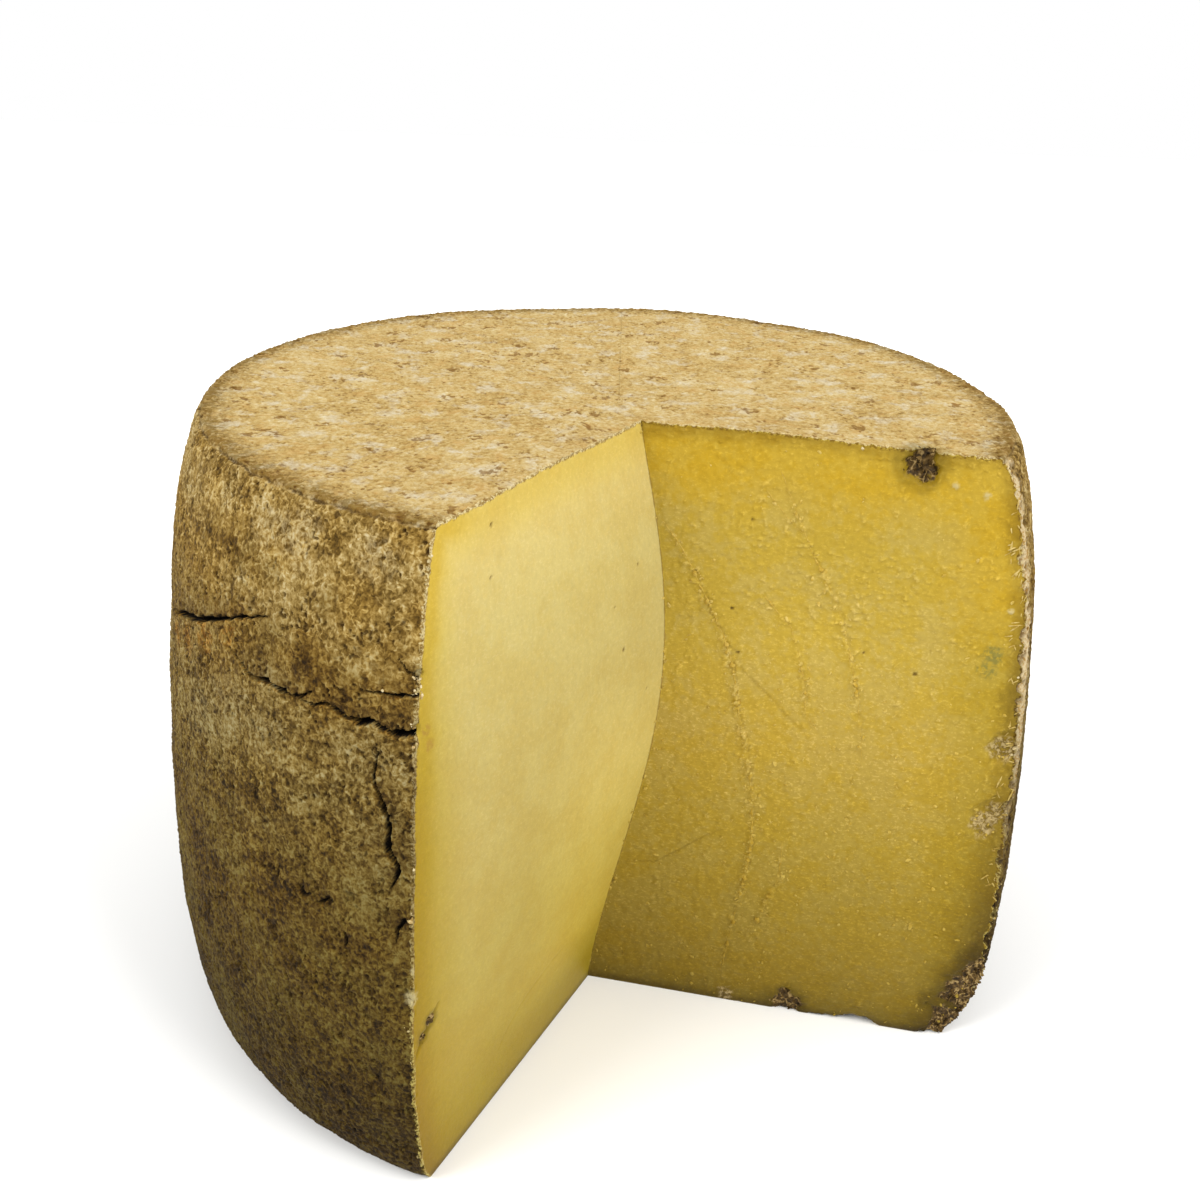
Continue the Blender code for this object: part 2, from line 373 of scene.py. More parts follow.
class NodeSheet:
    """A node tree that is written as Python expressions."""

    def __init__(self, tree: NodeTree) -> None:
        """Start on a shader's or a modifier's node tree."""
        self.tree = tree

    def node(
        self, kind: str, settings: Mapping[str, Any], values: Mapping[Any, Any], output: Union[str, int] = 0
    ) -> Term:
        """Make any node.

        Args:
            kind: The node's type.
            settings: Its own settings, set first; stops holds a colour ramp's stops.
            values: What goes into its sockets, by name or number: terms are linked, the rest is set.
            output: The name or number of the output that is wanted.

        Returns:
            That output.
        """
        made = self.tree.nodes.new(kind)
        for name, setting in settings.items():
            if name == "stops":
                self.set_stops(made.color_ramp, setting)
            else:
                setattr(made, name, setting)
        for key, value in values.items():
            self.feed(self.pick(made.inputs, key), value)
        return Term(self, self.pick(made.outputs, output))

    @staticmethod
    def set_stops(ramp: ColorRamp, stops: Stops) -> None:
        """Give a ramp its stops.

        Args:
            ramp: The ramp.
            stops: The stops, each a place and a colour.
        """
        while len(ramp.elements) < len(stops):
            ramp.elements.new(1.0)
        for element, (place, colour) in zip(ramp.elements, stops):
            element.position = place
            element.color = (*colour, 1.0)

    @staticmethod
    def pick(sockets: Any, key: Union[str, int]) -> NodeSocket:
        """The socket in use that has this name or number."""
        active = [socket for socket in sockets if socket.enabled]
        return active[key] if isinstance(key, int) else next(item for item in active if item.name == key)

    def feed(self, socket: NodeSocket, value: Any) -> None:
        """Link a term to a socket, or set the socket's own value.

        Args:
            socket: An input socket.
            value: The term or value; a colour has three parts, and its alpha is one.
        """
        if isinstance(value, Term):
            self.tree.links.new(value.socket, socket)
        else:
            socket.default_value = (*value, 1.0) if socket.type == "RGBA" else value

    def maths(self, operation: str, first: Value, second: Value) -> Term:
        """Combine two values, of which at least one is a term.

        Args:
            operation: What a maths node calls it.
            first: The first value.
            second: The second value.

        Returns:
            The result.
        """
        pair = (first, second)
        vectors = [item.is_vector if isinstance(item, Term) else isinstance(item, tuple) for item in pair]
        if operation == "MULTIPLY" and vectors[0] != vectors[1]:
            vector, scale = (first, second) if vectors[0] else (second, first)
            values = {"Vector": vector, "Scale": scale}
            return self.node("ShaderNodeVectorMath", {"operation": "SCALE"}, values)
        kind = "ShaderNodeVectorMath" if any(vectors) else "ShaderNodeMath"
        return self.node(kind, {"operation": operation}, {0: first, 1: second})

    def mix(self, share: Value, first: Value, second: Value) -> Term:
        """Mix two colours by the share of the second."""
        return self.node("ShaderNodeMix", {"data_type": "RGBA"}, {"Factor": share, "A": first, "B": second})

    def blend_vectors(self, share: Value, first: Value, second: Value) -> Term:
        """Mix two vectors by a share."""
        return self.node("ShaderNodeMix", {"data_type": "VECTOR"}, {"Factor": share, "A": first, "B": second})

    def noise(self, place: Term, size: Union[float, Term], detail: float, seed: float) -> Term:
        """Make smooth noise from 0 to 1.

        Args:
            place: Where it is read.
            size: Size of a feature, in metres.
            detail: How many finer layers it has.
            seed: Offset that picks another pattern.

        Returns:
            The noise.
        """
        scaled = place * (1.0 / size) + (seed, seed * 0.37, 0.0)
        values = {"Vector": scaled, "Scale": 1.0, "Detail": detail, "Roughness": 0.62}
        return self.node("ShaderNodeTexNoise", {}, values)

    def warped(self, place: Term, size: float, reach: float, seed: float) -> Term:
        """Places pushed about by noise, which makes a pattern that reads them curl."""
        push = self.noise(place, size, 1.0, seed).beside("Color") - (0.5, 0.5, 0.5)
        return place + push * reach

    def curls(self, place: Term, size: float, seed: float) -> Term:
        """Thin winding lines, 1 on a line and 0 between them."""
        bent = self.warped(place, size * 1.3, size * 1.1, seed + 1.0)
        return abs(self.noise(bent, size, 1.0, seed) - 0.5).rise(0.075, 0.0)

    def cells(self, place: Term, size: float, seed: float) -> Term:
        """Distance to the nearest of scattered points about a size apart, in that size."""
        scaled = place * (1.0 / size) + (seed, 0.0, seed * 0.61)
        return self.node("ShaderNodeTexVoronoi", {"feature": "F1"}, {"Vector": scaled, "Scale": 1.0})


@dataclass(frozen=True)
class NearLine:
    """What a tree reads of the nearest line of a set."""

    gap: Term
    width: Term
    strength: Term
    over: Term


class GeometryTree(NodeSheet):
    """A Geometry Nodes tree with named inputs, built in the script and applied to a mesh."""

    def __init__(self, name: str, sizes: Mapping[str, Any]) -> None:
        """Start a tree.

        Args:
            name: Its name.
            sizes: Its inputs with their values: numbers, whole numbers for seeds, objects or materials.
        """
        super().__init__(bpy.data.node_groups.new(name, "GeometryNodeTree"))
        self.sizes = dict(sizes)
        self.identifiers: dict[str, str] = {}
        face = self.tree.interface
        face.new_socket(name="Geometry", in_out="INPUT", socket_type="NodeSocketGeometry")
        face.new_socket(name="Geometry", in_out="OUTPUT", socket_type="NodeSocketGeometry")
        for title, value in self.sizes.items():
            socket = face.new_socket(name=title, in_out="INPUT", socket_type=self.socket_kind(value))
            self.identifiers[title] = socket.identifier
        self.entry = self.tree.nodes.new("NodeGroupInput")

    @staticmethod
    def socket_kind(value: Any) -> str:
        """Choose the type of input that holds a value.

        Args:
            value: An object, a material, a whole number or another number.

        Returns:
            The type's name.
        """
        if isinstance(value, Object):
            return "NodeSocketObject"
        if isinstance(value, Material):
            return "NodeSocketMaterial"
        if isinstance(value, int):
            return "NodeSocketInt"
        return "NodeSocketFloat"

    def input(self, title: str) -> Term:
        """One of the tree's named inputs."""
        return Term(self, self.entry.outputs[title])

    def place(self) -> Term:
        """Where each point is."""
        return self.node("GeometryNodeInputPosition", {}, {})

    def read(self, name: str, kind: str = "FLOAT") -> Term:
        """A named attribute of the mesh."""
        return self.node("GeometryNodeInputNamedAttribute", {"data_type": kind}, {"Name": name})

    def store(self, shape: Term, name: str, value: Value) -> Term:
        """Keep a number on each point of a shape under a name."""
        return self.node(
            "GeometryNodeStoreNamedAttribute",
            {"data_type": "FLOAT", "domain": "POINT"},
            {"Geometry": shape, "Name": name, "Value": value},
        )

    def vector(self, parts: Sequence[Value]) -> Term:
        """A vector of three parts."""
        return self.node("ShaderNodeCombineXYZ", {}, {"X": parts[0], "Y": parts[1], "Z": parts[2]})

    def shape_of(self, title: str) -> Term:
        """The shape of an input object."""
        return self.node("GeometryNodeObjectInfo", {}, {"Object": self.input(title)}, "Geometry")

    def moved(self, shape: Term, place: Term) -> Term:
        """A shape with its points at other places."""
        return self.node("GeometryNodeSetPosition", {}, {"Geometry": shape, "Position": place})

    def nearest(self, title: str, place: Term, element: str = "EDGES") -> NearLine:
        """Read the nearest line or point of an input object.

        Args:
            title: The input that holds the object.
            place: Where it is read.
            element: EDGES for lines, POINTS for lone points.

        Returns:
            The gap to it, its width and strength there, and how far the place is over it, from -1 to 1.
        """
        lines = self.shape_of(title)
        where = {"Geometry": lines, "Sample Position": place}
        gap = self.node("GeometryNodeProximity", {"target_element": element}, where, "Distance")
        index = self.node("GeometryNodeSampleNearest", {}, where)
        width, strength = [
            self.node(
                "GeometryNodeSampleIndex", {}, {"Geometry": lines, "Value": self.read(name), "Index": index}
            )
            for name in (LineSet.WIDTH, LineSet.STRENGTH)
        ]
        rise = (place - gap.beside("Position")).part("Z") / gap.above(0.05 * MM)
        return NearLine(gap, width, strength, rise)

    def finish(self, shape: Term, material: Term) -> None:
        """End the tree inside the solid's box, with realised instances in one material.

        Args:
            shape: The finished shape.
            material: What it is dressed in.
        """
        low, high = (tuple(float(part) for part in corner) for corner in solid_box)
        place = self.place().above(low).below(high)
        real = self.node("GeometryNodeRealizeInstances", {}, {"Geometry": self.moved(shape, place)})
        dressed = self.node("GeometryNodeSetMaterial", {}, {"Geometry": real, "Material": material})
        leave = self.tree.nodes.new("NodeGroupOutput")
        self.feed(leave.inputs["Geometry"], dressed)

    def apply(self, item: Object) -> Object:
        """Run the tree on an object and keep the result as its plain mesh.

        Args:
            item: The object, whose mesh is replaced.

        Returns:
            The same object, with no modifier left.
        """
        modifier = item.modifiers.new(self.tree.name, "NODES")
        modifier.node_group = self.tree
        for title, value in self.sizes.items():
            modifier[self.identifiers[title]] = value
        graph = bpy.context.evaluated_depsgraph_get()
        result = bpy.data.meshes.new_from_object(item.evaluated_get(graph), depsgraph=graph)
        item.modifiers.remove(modifier)
        old = item.data
        item.data = result
        result.name = item.name
        bpy.data.meshes.remove(old)
        return item

    def grow(self) -> Object:
        """Run the tree on nothing, and keep what it makes as a new object of its name."""
        return self.apply(linked(self.tree.name, bpy.data.meshes.new(self.tree.name)))


def linked(name: str, mesh: Mesh) -> Object:
    """Put a mesh into the scene at the origin.

    Args:
        name: Name of the new object.
        mesh: Its mesh.

    Returns:
        The object.
    """
    item = bpy.data.objects.new(name, mesh)
    bpy.context.scene.collection.objects.link(item)
    return item


class MeshDraft:
    """Points with named values on them, and the faces between them, before they become a mesh."""

    SCALARS = ("rindness", "calm", "from_rind", "near_cut", "top", "rim", "right_face", "seam", "skin")
    VECTORS = ("out", "brow")

    def __init__(self) -> None:
        """Start empty."""
        self.points: list[Array] = []
        self.values: dict[str, list[Array]] = {name: [] for name in self.SCALARS + self.VECTORS}
        self.faces: list[tuple[int, ...]] = []
        self.count = 0

    def add(self, points: Array, values: Mapping[str, Union[float, Array]]) -> Array:
        """Add points.

        Args:
            points: An array of points, of any shape.
            values: Values by name, each a number, a vector or an array of the same shape.

        Returns:
            The points' numbers, in the array's shape.
        """
        shape = points.shape[:-1]
        size = int(np.prod(shape))
        self.points.append(points.reshape(size, 3))
        for name in self.SCALARS:
            value = np.broadcast_to(np.asarray(values.get(name, 0.0), float), shape)
            self.values[name].append(value.reshape(size))
        for name in self.VECTORS:
            value = np.broadcast_to(np.asarray(values.get(name, (0.0, 0.0, 0.0)), float), shape + (3,))
            self.values[name].append(value.reshape(size, 3))
        numbers = np.arange(self.count, self.count + size).reshape(shape)
        self.count += size
        return numbers

    def grid(self, numbers: Array, turned: bool = False) -> None:
        """Make the faces of a grid of point numbers, dropping corners that coincide.

        Args:
            numbers: Rows and columns of point numbers.
            turned: Whether the faces point the other way.
        """
        corners = np.stack(
            [numbers[:-1, :-1], numbers[:-1, 1:], numbers[1:, 1:], numbers[1:, :-1]], axis=-1
        ).reshape(-1, 4)
        if turned:
            corners = corners[:, ::-1]
        poles = (corners == np.roll(corners, 1, axis=1)).any(axis=1)
        self.faces += [tuple(face) for face in corners[~poles].tolist()]
        self.faces += [tuple(dict.fromkeys(face)) for face in corners[poles].tolist()]

    def stitch(self, coarse: Array, fine: Array, turned: bool = False) -> None:
        """Join a row of points to a row with twice as many steps.

        Args:
            coarse: Point numbers of the row with fewer steps.
            fine: Point numbers of the other row.
            turned: Whether the faces point the other way.
        """
        for step in range(len(coarse) - 1):
            face = (coarse[step], coarse[step + 1], fine[2 * step + 2], fine[2 * step + 1], fine[2 * step])
            numbers = tuple(dict.fromkeys(int(number) for number in face))
            self.faces.append(numbers[::-1] if turned else numbers)

    def fan(self, loop: Sequence[int], centre: Array, turned: bool = False) -> None:
        """Close a loop with triangles about a new point.

        Args:
            loop: The loop's point numbers.
            centre: The new point.
            turned: Whether the faces point the other way.
        """
        middle = int(self.add(centre.reshape(1, 3), {})[0])
        ends = list(loop[1:]) + [loop[0]]
        for first, second in zip(loop, ends):
            if first != second:
                self.faces.append((second, first, middle) if turned else (first, second, middle))

    def mesh(self, name: str) -> Mesh:
        """Make the mesh, with its values as point attributes and smooth shading.

        Args:
            name: Its name.

        Returns:
            The mesh.
        """
        made = bpy.data.meshes.new(name)
        made.from_pydata(np.concatenate(self.points), [], self.faces)
        for title in self.SCALARS:
            layer = made.attributes.new(title, "FLOAT", "POINT")
            layer.data.foreach_set("value", np.concatenate(self.values[title]).astype(np.float32))
        for title in self.VECTORS:
            layer = made.attributes.new(title, "FLOAT_VECTOR", "POINT")
            layer.data.foreach_set("vector", np.concatenate(self.values[title]).astype(np.float32).ravel())
        made.shade_smooth()
        made.update()
        return made


class LineSet:
    """Lines or lone points on the wheel's surface, such as cracks, that Geometry Nodes read by distance."""

    WIDTH = "line_width"
    STRENGTH = "line_strength"
    STEP = 0.0012

    def __init__(self, name: str) -> None:
        """Start empty.

        Args:
            name: Name of the helper object.
        """
        self.name = name
        self.points: list[Array] = []
        self.widths: list[Array] = []
        self.strengths: list[Array] = []
        self.edges: list[tuple[int, int]] = []
        self.count = 0

    @classmethod
    def spread(cls, route: Array) -> tuple[Array, Array]:
        """Set points at an even small step along a route.

        Args:
            route: The route's corners.

        Returns:
            The points, and their shares of its length.
        """
        gaps = np.linalg.norm(np.diff(route, axis=0), axis=1)
        along = np.concatenate([[0.0], np.cumsum(gaps)])
        places = np.linspace(0.0, along[-1], max(3, int(along[-1] / cls.STEP)))
        points = np.stack([np.interp(places, along, column) for column in route.T], axis=1)
        return points, places / along[-1]

    def add(
        self, points: Array, widths: Array, strengths: Array, joined: bool = True
    ) -> None:
        """Add one line, or some lone points.

        Args:
            points: The points.
            widths: The width at each point.
            strengths: The strength at each point.
            joined: Whether they make a line.
        """
        self.points.append(points)
        self.widths.append(widths)
        self.strengths.append(strengths)
        if joined:
            self.edges += [(self.count + step, self.count + step + 1) for step in range(len(points) - 1)]
        self.count += len(points)

    def helper(self) -> Object:
        """Make the lines an object that a tree can read, and that is removed when it has been.

        Returns:
            The object.
        """
        mesh = bpy.data.meshes.new(self.name)
        mesh.from_pydata(np.concatenate(self.points), self.edges, [])
        for title, parts in ((self.WIDTH, self.widths), (self.STRENGTH, self.strengths)):
            layer = mesh.attributes.new(title, "FLOAT", "POINT")
            layer.data.foreach_set("value", np.concatenate(parts).astype(np.float32))
        return linked(self.name, mesh)


@dataclass(frozen=True)
class Crack:
    """A crack in the side rind, along a route of angles in degrees and heights in millimetres."""

    width: float
    depth: float
    widest: float
    route: Route


CRACKS = {
    "long_crack_start": Crack(2.6, 7.0, 0.6, (
        (223.4, 230.4), (224.5, 228.8), (226.6, 226.7), (228.3, 224.1), (230.6, 225.2), (232.2, 225.3),
        (233.4, 224.6), (235.4, 224.3), (236.7, 226.0), (238.0, 229.2),
    )),
    "long_crack": Crack(3.0, 9.0, 0.75, (
        (236.2, 225.2), (237.3, 223.9), (238.5, 223.8), (239.5, 226.2), (240.6, 226.0), (242.0, 224.8),
        (243.6, 223.6), (244.5, 223.1), (245.9, 225.1), (247.4, 224.0), (248.8, 222.8), (250.1, 222.8),
        (251.2, 224.5), (253.0, 226.5),
    )),
    "shoulder_crack": Crack(3.4, 8.0, 0.35, (
        (200.5, 216.0), (205.5, 220.4), (214.3, 229.6), (221.0, 238.4), (225.3, 244.6), (230.5, 250.6),
    )),
    "standing_crack": Crack(3.1, 8.0, 0.72, (
        (246.9, 214.0), (246.4, 201.3), (247.6, 193.7), (248.5, 185.5), (248.2, 174.9), (249.5, 165.8),
        (248.7, 157.5),
    )),
    "short_crack": Crack(1.5, 4.0, 0.5, ((244.9, 236.2), (248.6, 237.6), (254.0, 240.6))),
    "edge_crack": Crack(1.2, 4.0, 0.5, ((248.9, 251.0), (250.8, 244.8))),
    "low_crack": Crack(2.4, 4.5, 0.6, ((238.9, 138.4), (239.8, 139.6), (240.8, 142.0), (241.6, 142.6))),
    "low_pit_crack": Crack(3.8, 5.0, 0.5, ((236.6, 143.4), (237.3, 139.6), (238.0, 141.2))),
    "small_crack": Crack(2.0, 4.0, 0.5, ((233.6, 147.6), (233.2, 141.4))),
    "fine_crack": Crack(2.0, 4.0, 0.5, ((242.8, 130.4), (243.2, 127.0), (242.9, 123.4))),
    "foot_crack": Crack(1.9, 4.0, 0.5, ((251.2, 146.0), (250.0, 143.0), (249.3, 138.6), (249.4, 133.0))),
    "back_crack": Crack(2.6, 8.0, 0.5, (
        (96.0, 176.0), (101.5, 181.5), (106.0, 178.4), (111.0, 186.0), (117.5, 183.2), (124.0, 189.5),
    )),
    "back_standing_crack": Crack(2.6, 7.0, 0.6, ((62.0, 208.0), (60.8, 196.0), (63.2, 184.0), (61.6, 168.0))),
    "side_crack": Crack(2.2, 6.0, 0.4, ((6.0, 146.0), (11.5, 141.0), (16.0, 144.6), (22.5, 137.0))),
}


@dataclass(frozen=True)
class WireMark:
    """A mark that the cutting wire drew on a cut face: a crumbly ridge, a fine groove, or both.

    Its route is in millimetres, as distances from the apex line and heights. The ridge and the
    groove are how much of the full relief they have.
    """

    cut: Cut
    ridge: float
    groove: float
    route: Route


WIRE_MARKS = {
    "long_mark": WireMark(Cut.RIGHT, 1.0, 0.8, (
        (2.9, 255.3), (9.0, 246.5), (19.0, 223.4), (25.8, 207.9), (32.4, 190.0), (37.7, 165.7), (43.8, 153.1),
        (46.4, 142.7), (54.0, 121.0), (58.1, 106.5), (61.2, 91.6), (63.3, 72.8), (65.3, 48.5), (66.9, 18.3),
    )),
    "branch_mark": WireMark(Cut.RIGHT, 0.0, 1.0, (
        (18.6, 224.2), (22.5, 213.5), (27.5, 205.4), (29.4, 199.5), (34.1, 197.0),
    )),
    "bowed_mark": WireMark(Cut.RIGHT, 0.0, 0.8, (
        (33.7, 196.5), (37.7, 187.1), (50.5, 177.1), (60.2, 168.2), (69.9, 160.3),
    )),
    "middle_mark": WireMark(Cut.RIGHT, 0.8, 0.5, (
        (46.0, 226.1), (58.0, 212.7), (61.6, 202.3), (66.4, 183.2), (67.9, 172.3), (75.0, 162.1),
    )),
    "outer_mark": WireMark(Cut.RIGHT, 0.8, 0.5, (
        (60.1, 283.9), (65.0, 266.1), (69.3, 249.2), (79.2, 226.4), (86.1, 199.6), (92.6, 172.4),
        (98.0, 151.4),
    )),
    "faint_mark": WireMark(Cut.RIGHT, 0.35, 0.0, ((52.8, 274.0), (58.5, 265.4), (65.5, 256.9))),
    "low_mark": WireMark(Cut.RIGHT, 1.0, 0.2, (
        (74.5, 100.4), (79.0, 79.3), (77.7, 70.9), (76.9, 56.1), (73.5, 40.3),
    )),
    "hair_mark": WireMark(Cut.RIGHT, 0.0, 0.7, (
        (1.4, 74.8), (18.0, 77.6), (26.5, 85.4), (37.3, 96.7), (47.8, 104.7),
    )),
    "rind_slit": WireMark(Cut.LEFT, 0.0, 2.2, ((152.0, 95.4), (158.0, 88.8), (164.0, 82.4), (167.5, 76.0))),
    "low_curve": WireMark(Cut.LEFT, 0.0, 0.45, (
        (38.0, 49.0), (52.4, 48.9), (73.6, 45.1), (82.0, 42.0), (92.0, 36.0), (100.0, 28.0),
    )),
}

# Small dark holes in the paste, as distances from the apex line and heights in millimetres
PINHOLES = {
    Cut.LEFT: (
        (19.0, 241.3), (122.3, 269.4), (39.4, 228.1), (119.9, 289.4), (12.7, 179.7), (102.5, 88.9),
        (33.3, 206.4), (93.5, 76.3),
    ),
    Cut.RIGHT: (
        (44.4, 260.0), (31.4, 217.8), (41.6, 165.2), (34.5, 196.8), (91.3, 205.3), (119.9, 210.1),
        (114.2, 198.1), (40.2, 158.0),
    ),
}


@dataclass(frozen=True)
class Hollow:
    """A crumbled hollow at a cut edge.

    It is placed by its distance in from the rind along a cut face and its height, with its radius
    and depth, all in millimetres. Its bite is a mix of into the face, in from the rind and up.
    """

    cut: Cut
    inward: float
    height: float
    radius: float
    depth: float
    bite: Triple
    mould: float


HOLLOWS = {
    "top_burrow": Hollow(Cut.RIGHT, 38.5, 292.5, 8.2, 7.0, (1.0, 0.0, 0.0), 1.0),
    "foot_corner": Hollow(Cut.RIGHT, -1.0, 8.0, 17.0, 4.5, (0.8, 0.3, 0.5), 1.0),
    "corner_pit": Hollow(Cut.RIGHT, 2.0, 30.0, 14.5, 3.0, (1.0, 0.0, 0.0), 1.0),
    "corner_tip": Hollow(Cut.RIGHT, 1.0, 46.0, 9.0, 1.5, (1.0, 0.0, 0.0), 0.8),
    "foot_pit": Hollow(Cut.RIGHT, 83.5, 4.0, 8.5, 1.4, (1.0, 0.0, 0.0), 0.85),
    "foot_chip": Hollow(Cut.RIGHT, 40.0, -1.0, 9.0, 2.6, (0.2, 0.0, 1.0), 0.0),
    "foot_chip_end": Hollow(Cut.RIGHT, 50.0, -8.0, 16.0, 2.0, (0.2, 0.0, 1.0), 0.0),
    "upper_pocket": Hollow(Cut.RIGHT, 6.0, 166.0, 9.0, 2.6, (1.0, 0.2, 0.0), 0.0),
    "lower_pocket": Hollow(Cut.RIGHT, 8.0, 130.0, 11.0, 3.0, (1.0, 0.2, 0.0), 0.0),
    "edge_notch": Hollow(Cut.LEFT, 0.0, 246.0, 2.8, 2.4, (0.6, 0.7, 0.0), 0.3),
    "slit_pit": Hollow(Cut.LEFT, 11.7, 89.8, 3.2, 1.2, (1.0, 0.0, 0.0), 0.8),
    "slit_foot": Hollow(Cut.LEFT, 7.0, 84.5, 3.0, 1.0, (1.0, 0.0, 0.0), 0.7),
    "crack_mouth": Hollow(Cut.LEFT, 0.0, 224.5, 3.4, 2.2, (0.8, 0.4, 0.0), 0.0),
}


class Bloom(Enum):
    """What a patch on a cut face is made of; the value is the name of its mask."""

    CHALK = "chalk"
    BLUE = "blue"
    CREAM = "cream"
    OCHRE = "ochre"


# Patches on the cut faces: the cut, then distance from the apex line, height and radius in millimetres
FACE_PATCHES = {
    Bloom.CHALK: (
        (Cut.RIGHT, 158.0, 166.5, 6.5), (Cut.RIGHT, 166.0, 133.0, 6.5), (Cut.RIGHT, 160.0, 126.0, 6.5),
        (Cut.RIGHT, 72.0, 4.0, 4.5),
    ),
    Bloom.BLUE: ((Cut.RIGHT, 146.5, 211.5, 4.6), (Cut.RIGHT, 145.0, 204.0, 4.6)),
    Bloom.CREAM: (
        (Cut.RIGHT, 147.9, 283.5, 2.0), (Cut.RIGHT, 153.9, 233.1, 1.4), (Cut.RIGHT, 135.0, 286.3, 1.4),
        (Cut.LEFT, 170.0, 108.0, 3.4), (Cut.LEFT, 171.0, 121.0, 1.8), (Cut.LEFT, 168.5, 247.5, 2.6),
        (Cut.LEFT, 172.0, 229.5, 3.0),
    ),
    Bloom.OCHRE: ((Cut.LEFT, 164.0, 223.5, 2.4), (Cut.LEFT, 162.0, 216.5, 2.8)),
}


class Tone(Enum):
    """What a broad smudge on the side rind looks like; the value is the name of its mask."""

    OLIVE = "olive"
    PALE = "pale"
    TORN = "torn"


# Broad soft smudges on the side rind: angle in degrees, then height and radius in millimetres
SMUDGES = {
    Tone.OLIVE: (
        (217.3, 274.6, 8.0), (221.5, 271.5, 9.0), (225.6, 269.0, 10.0), (229.8, 268.0, 8.0),
        (239.2, 265.0, 7.0), (237.5, 238.5, 12.0), (243.3, 234.5, 9.0), (231.0, 242.0, 9.0),
    ),
    Tone.PALE: (
        (233.5, 284.0, 13.0), (227.5, 281.0, 8.0), (245.0, 285.0, 10.0), (224.0, 206.0, 15.0),
        (231.0, 200.0, 12.0), (217.0, 190.0, 14.0),
    ),
    Tone.TORN: ((206.0, 210.5, 7.0), (211.5, 217.5, 8.0), (217.0, 225.5, 8.0), (223.0, 233.5, 6.0)),
}


@dataclass(frozen=True)
class Slice:
    """A sector of the wheel that is one closed mesh, from one angle to another, in degrees."""

    name: str
    start: float
    end: float
    columns: int
    cut: Optional[Cut] = None


SLICES = (
    Slice("cut_edge_left", 247.4, 251.4, 32, Cut.LEFT),
    Slice("rind_front_left", 232.0, 247.4, 120),
    Slice("rind_front", 214.0, 232.0, 136),
    Slice("rind_left", 190.0, 214.0, 148),
    Slice("rind_back_left", 158.0, 190.0, 128),
    Slice("rind_back_1", 123.0, 158.0, 128),
    Slice("rind_back_2", 88.0, 123.0, 128),
    Slice("rind_back_3", 53.0, 88.0, 128),
    Slice("rind_right", 22.0, 53.0, 112),
    Slice("rind_front_right", -6.0, 22.0, 112),
    Slice("rind_near_right", -21.5, -6.0, 88),
    Slice("cut_edge_right", -25.5, -21.5, 32, Cut.RIGHT),
)


@dataclass(frozen=True)
class Cap:
    """The rings of a sector's top or base, from the spokes' starts out to the rim, as point numbers."""

    rings: list[Array]

    def border(self, column: int) -> list[int]:
        """Point numbers along the first (0) or last (-1) spoke."""
        return [int(ring[column]) for ring in self.rings]


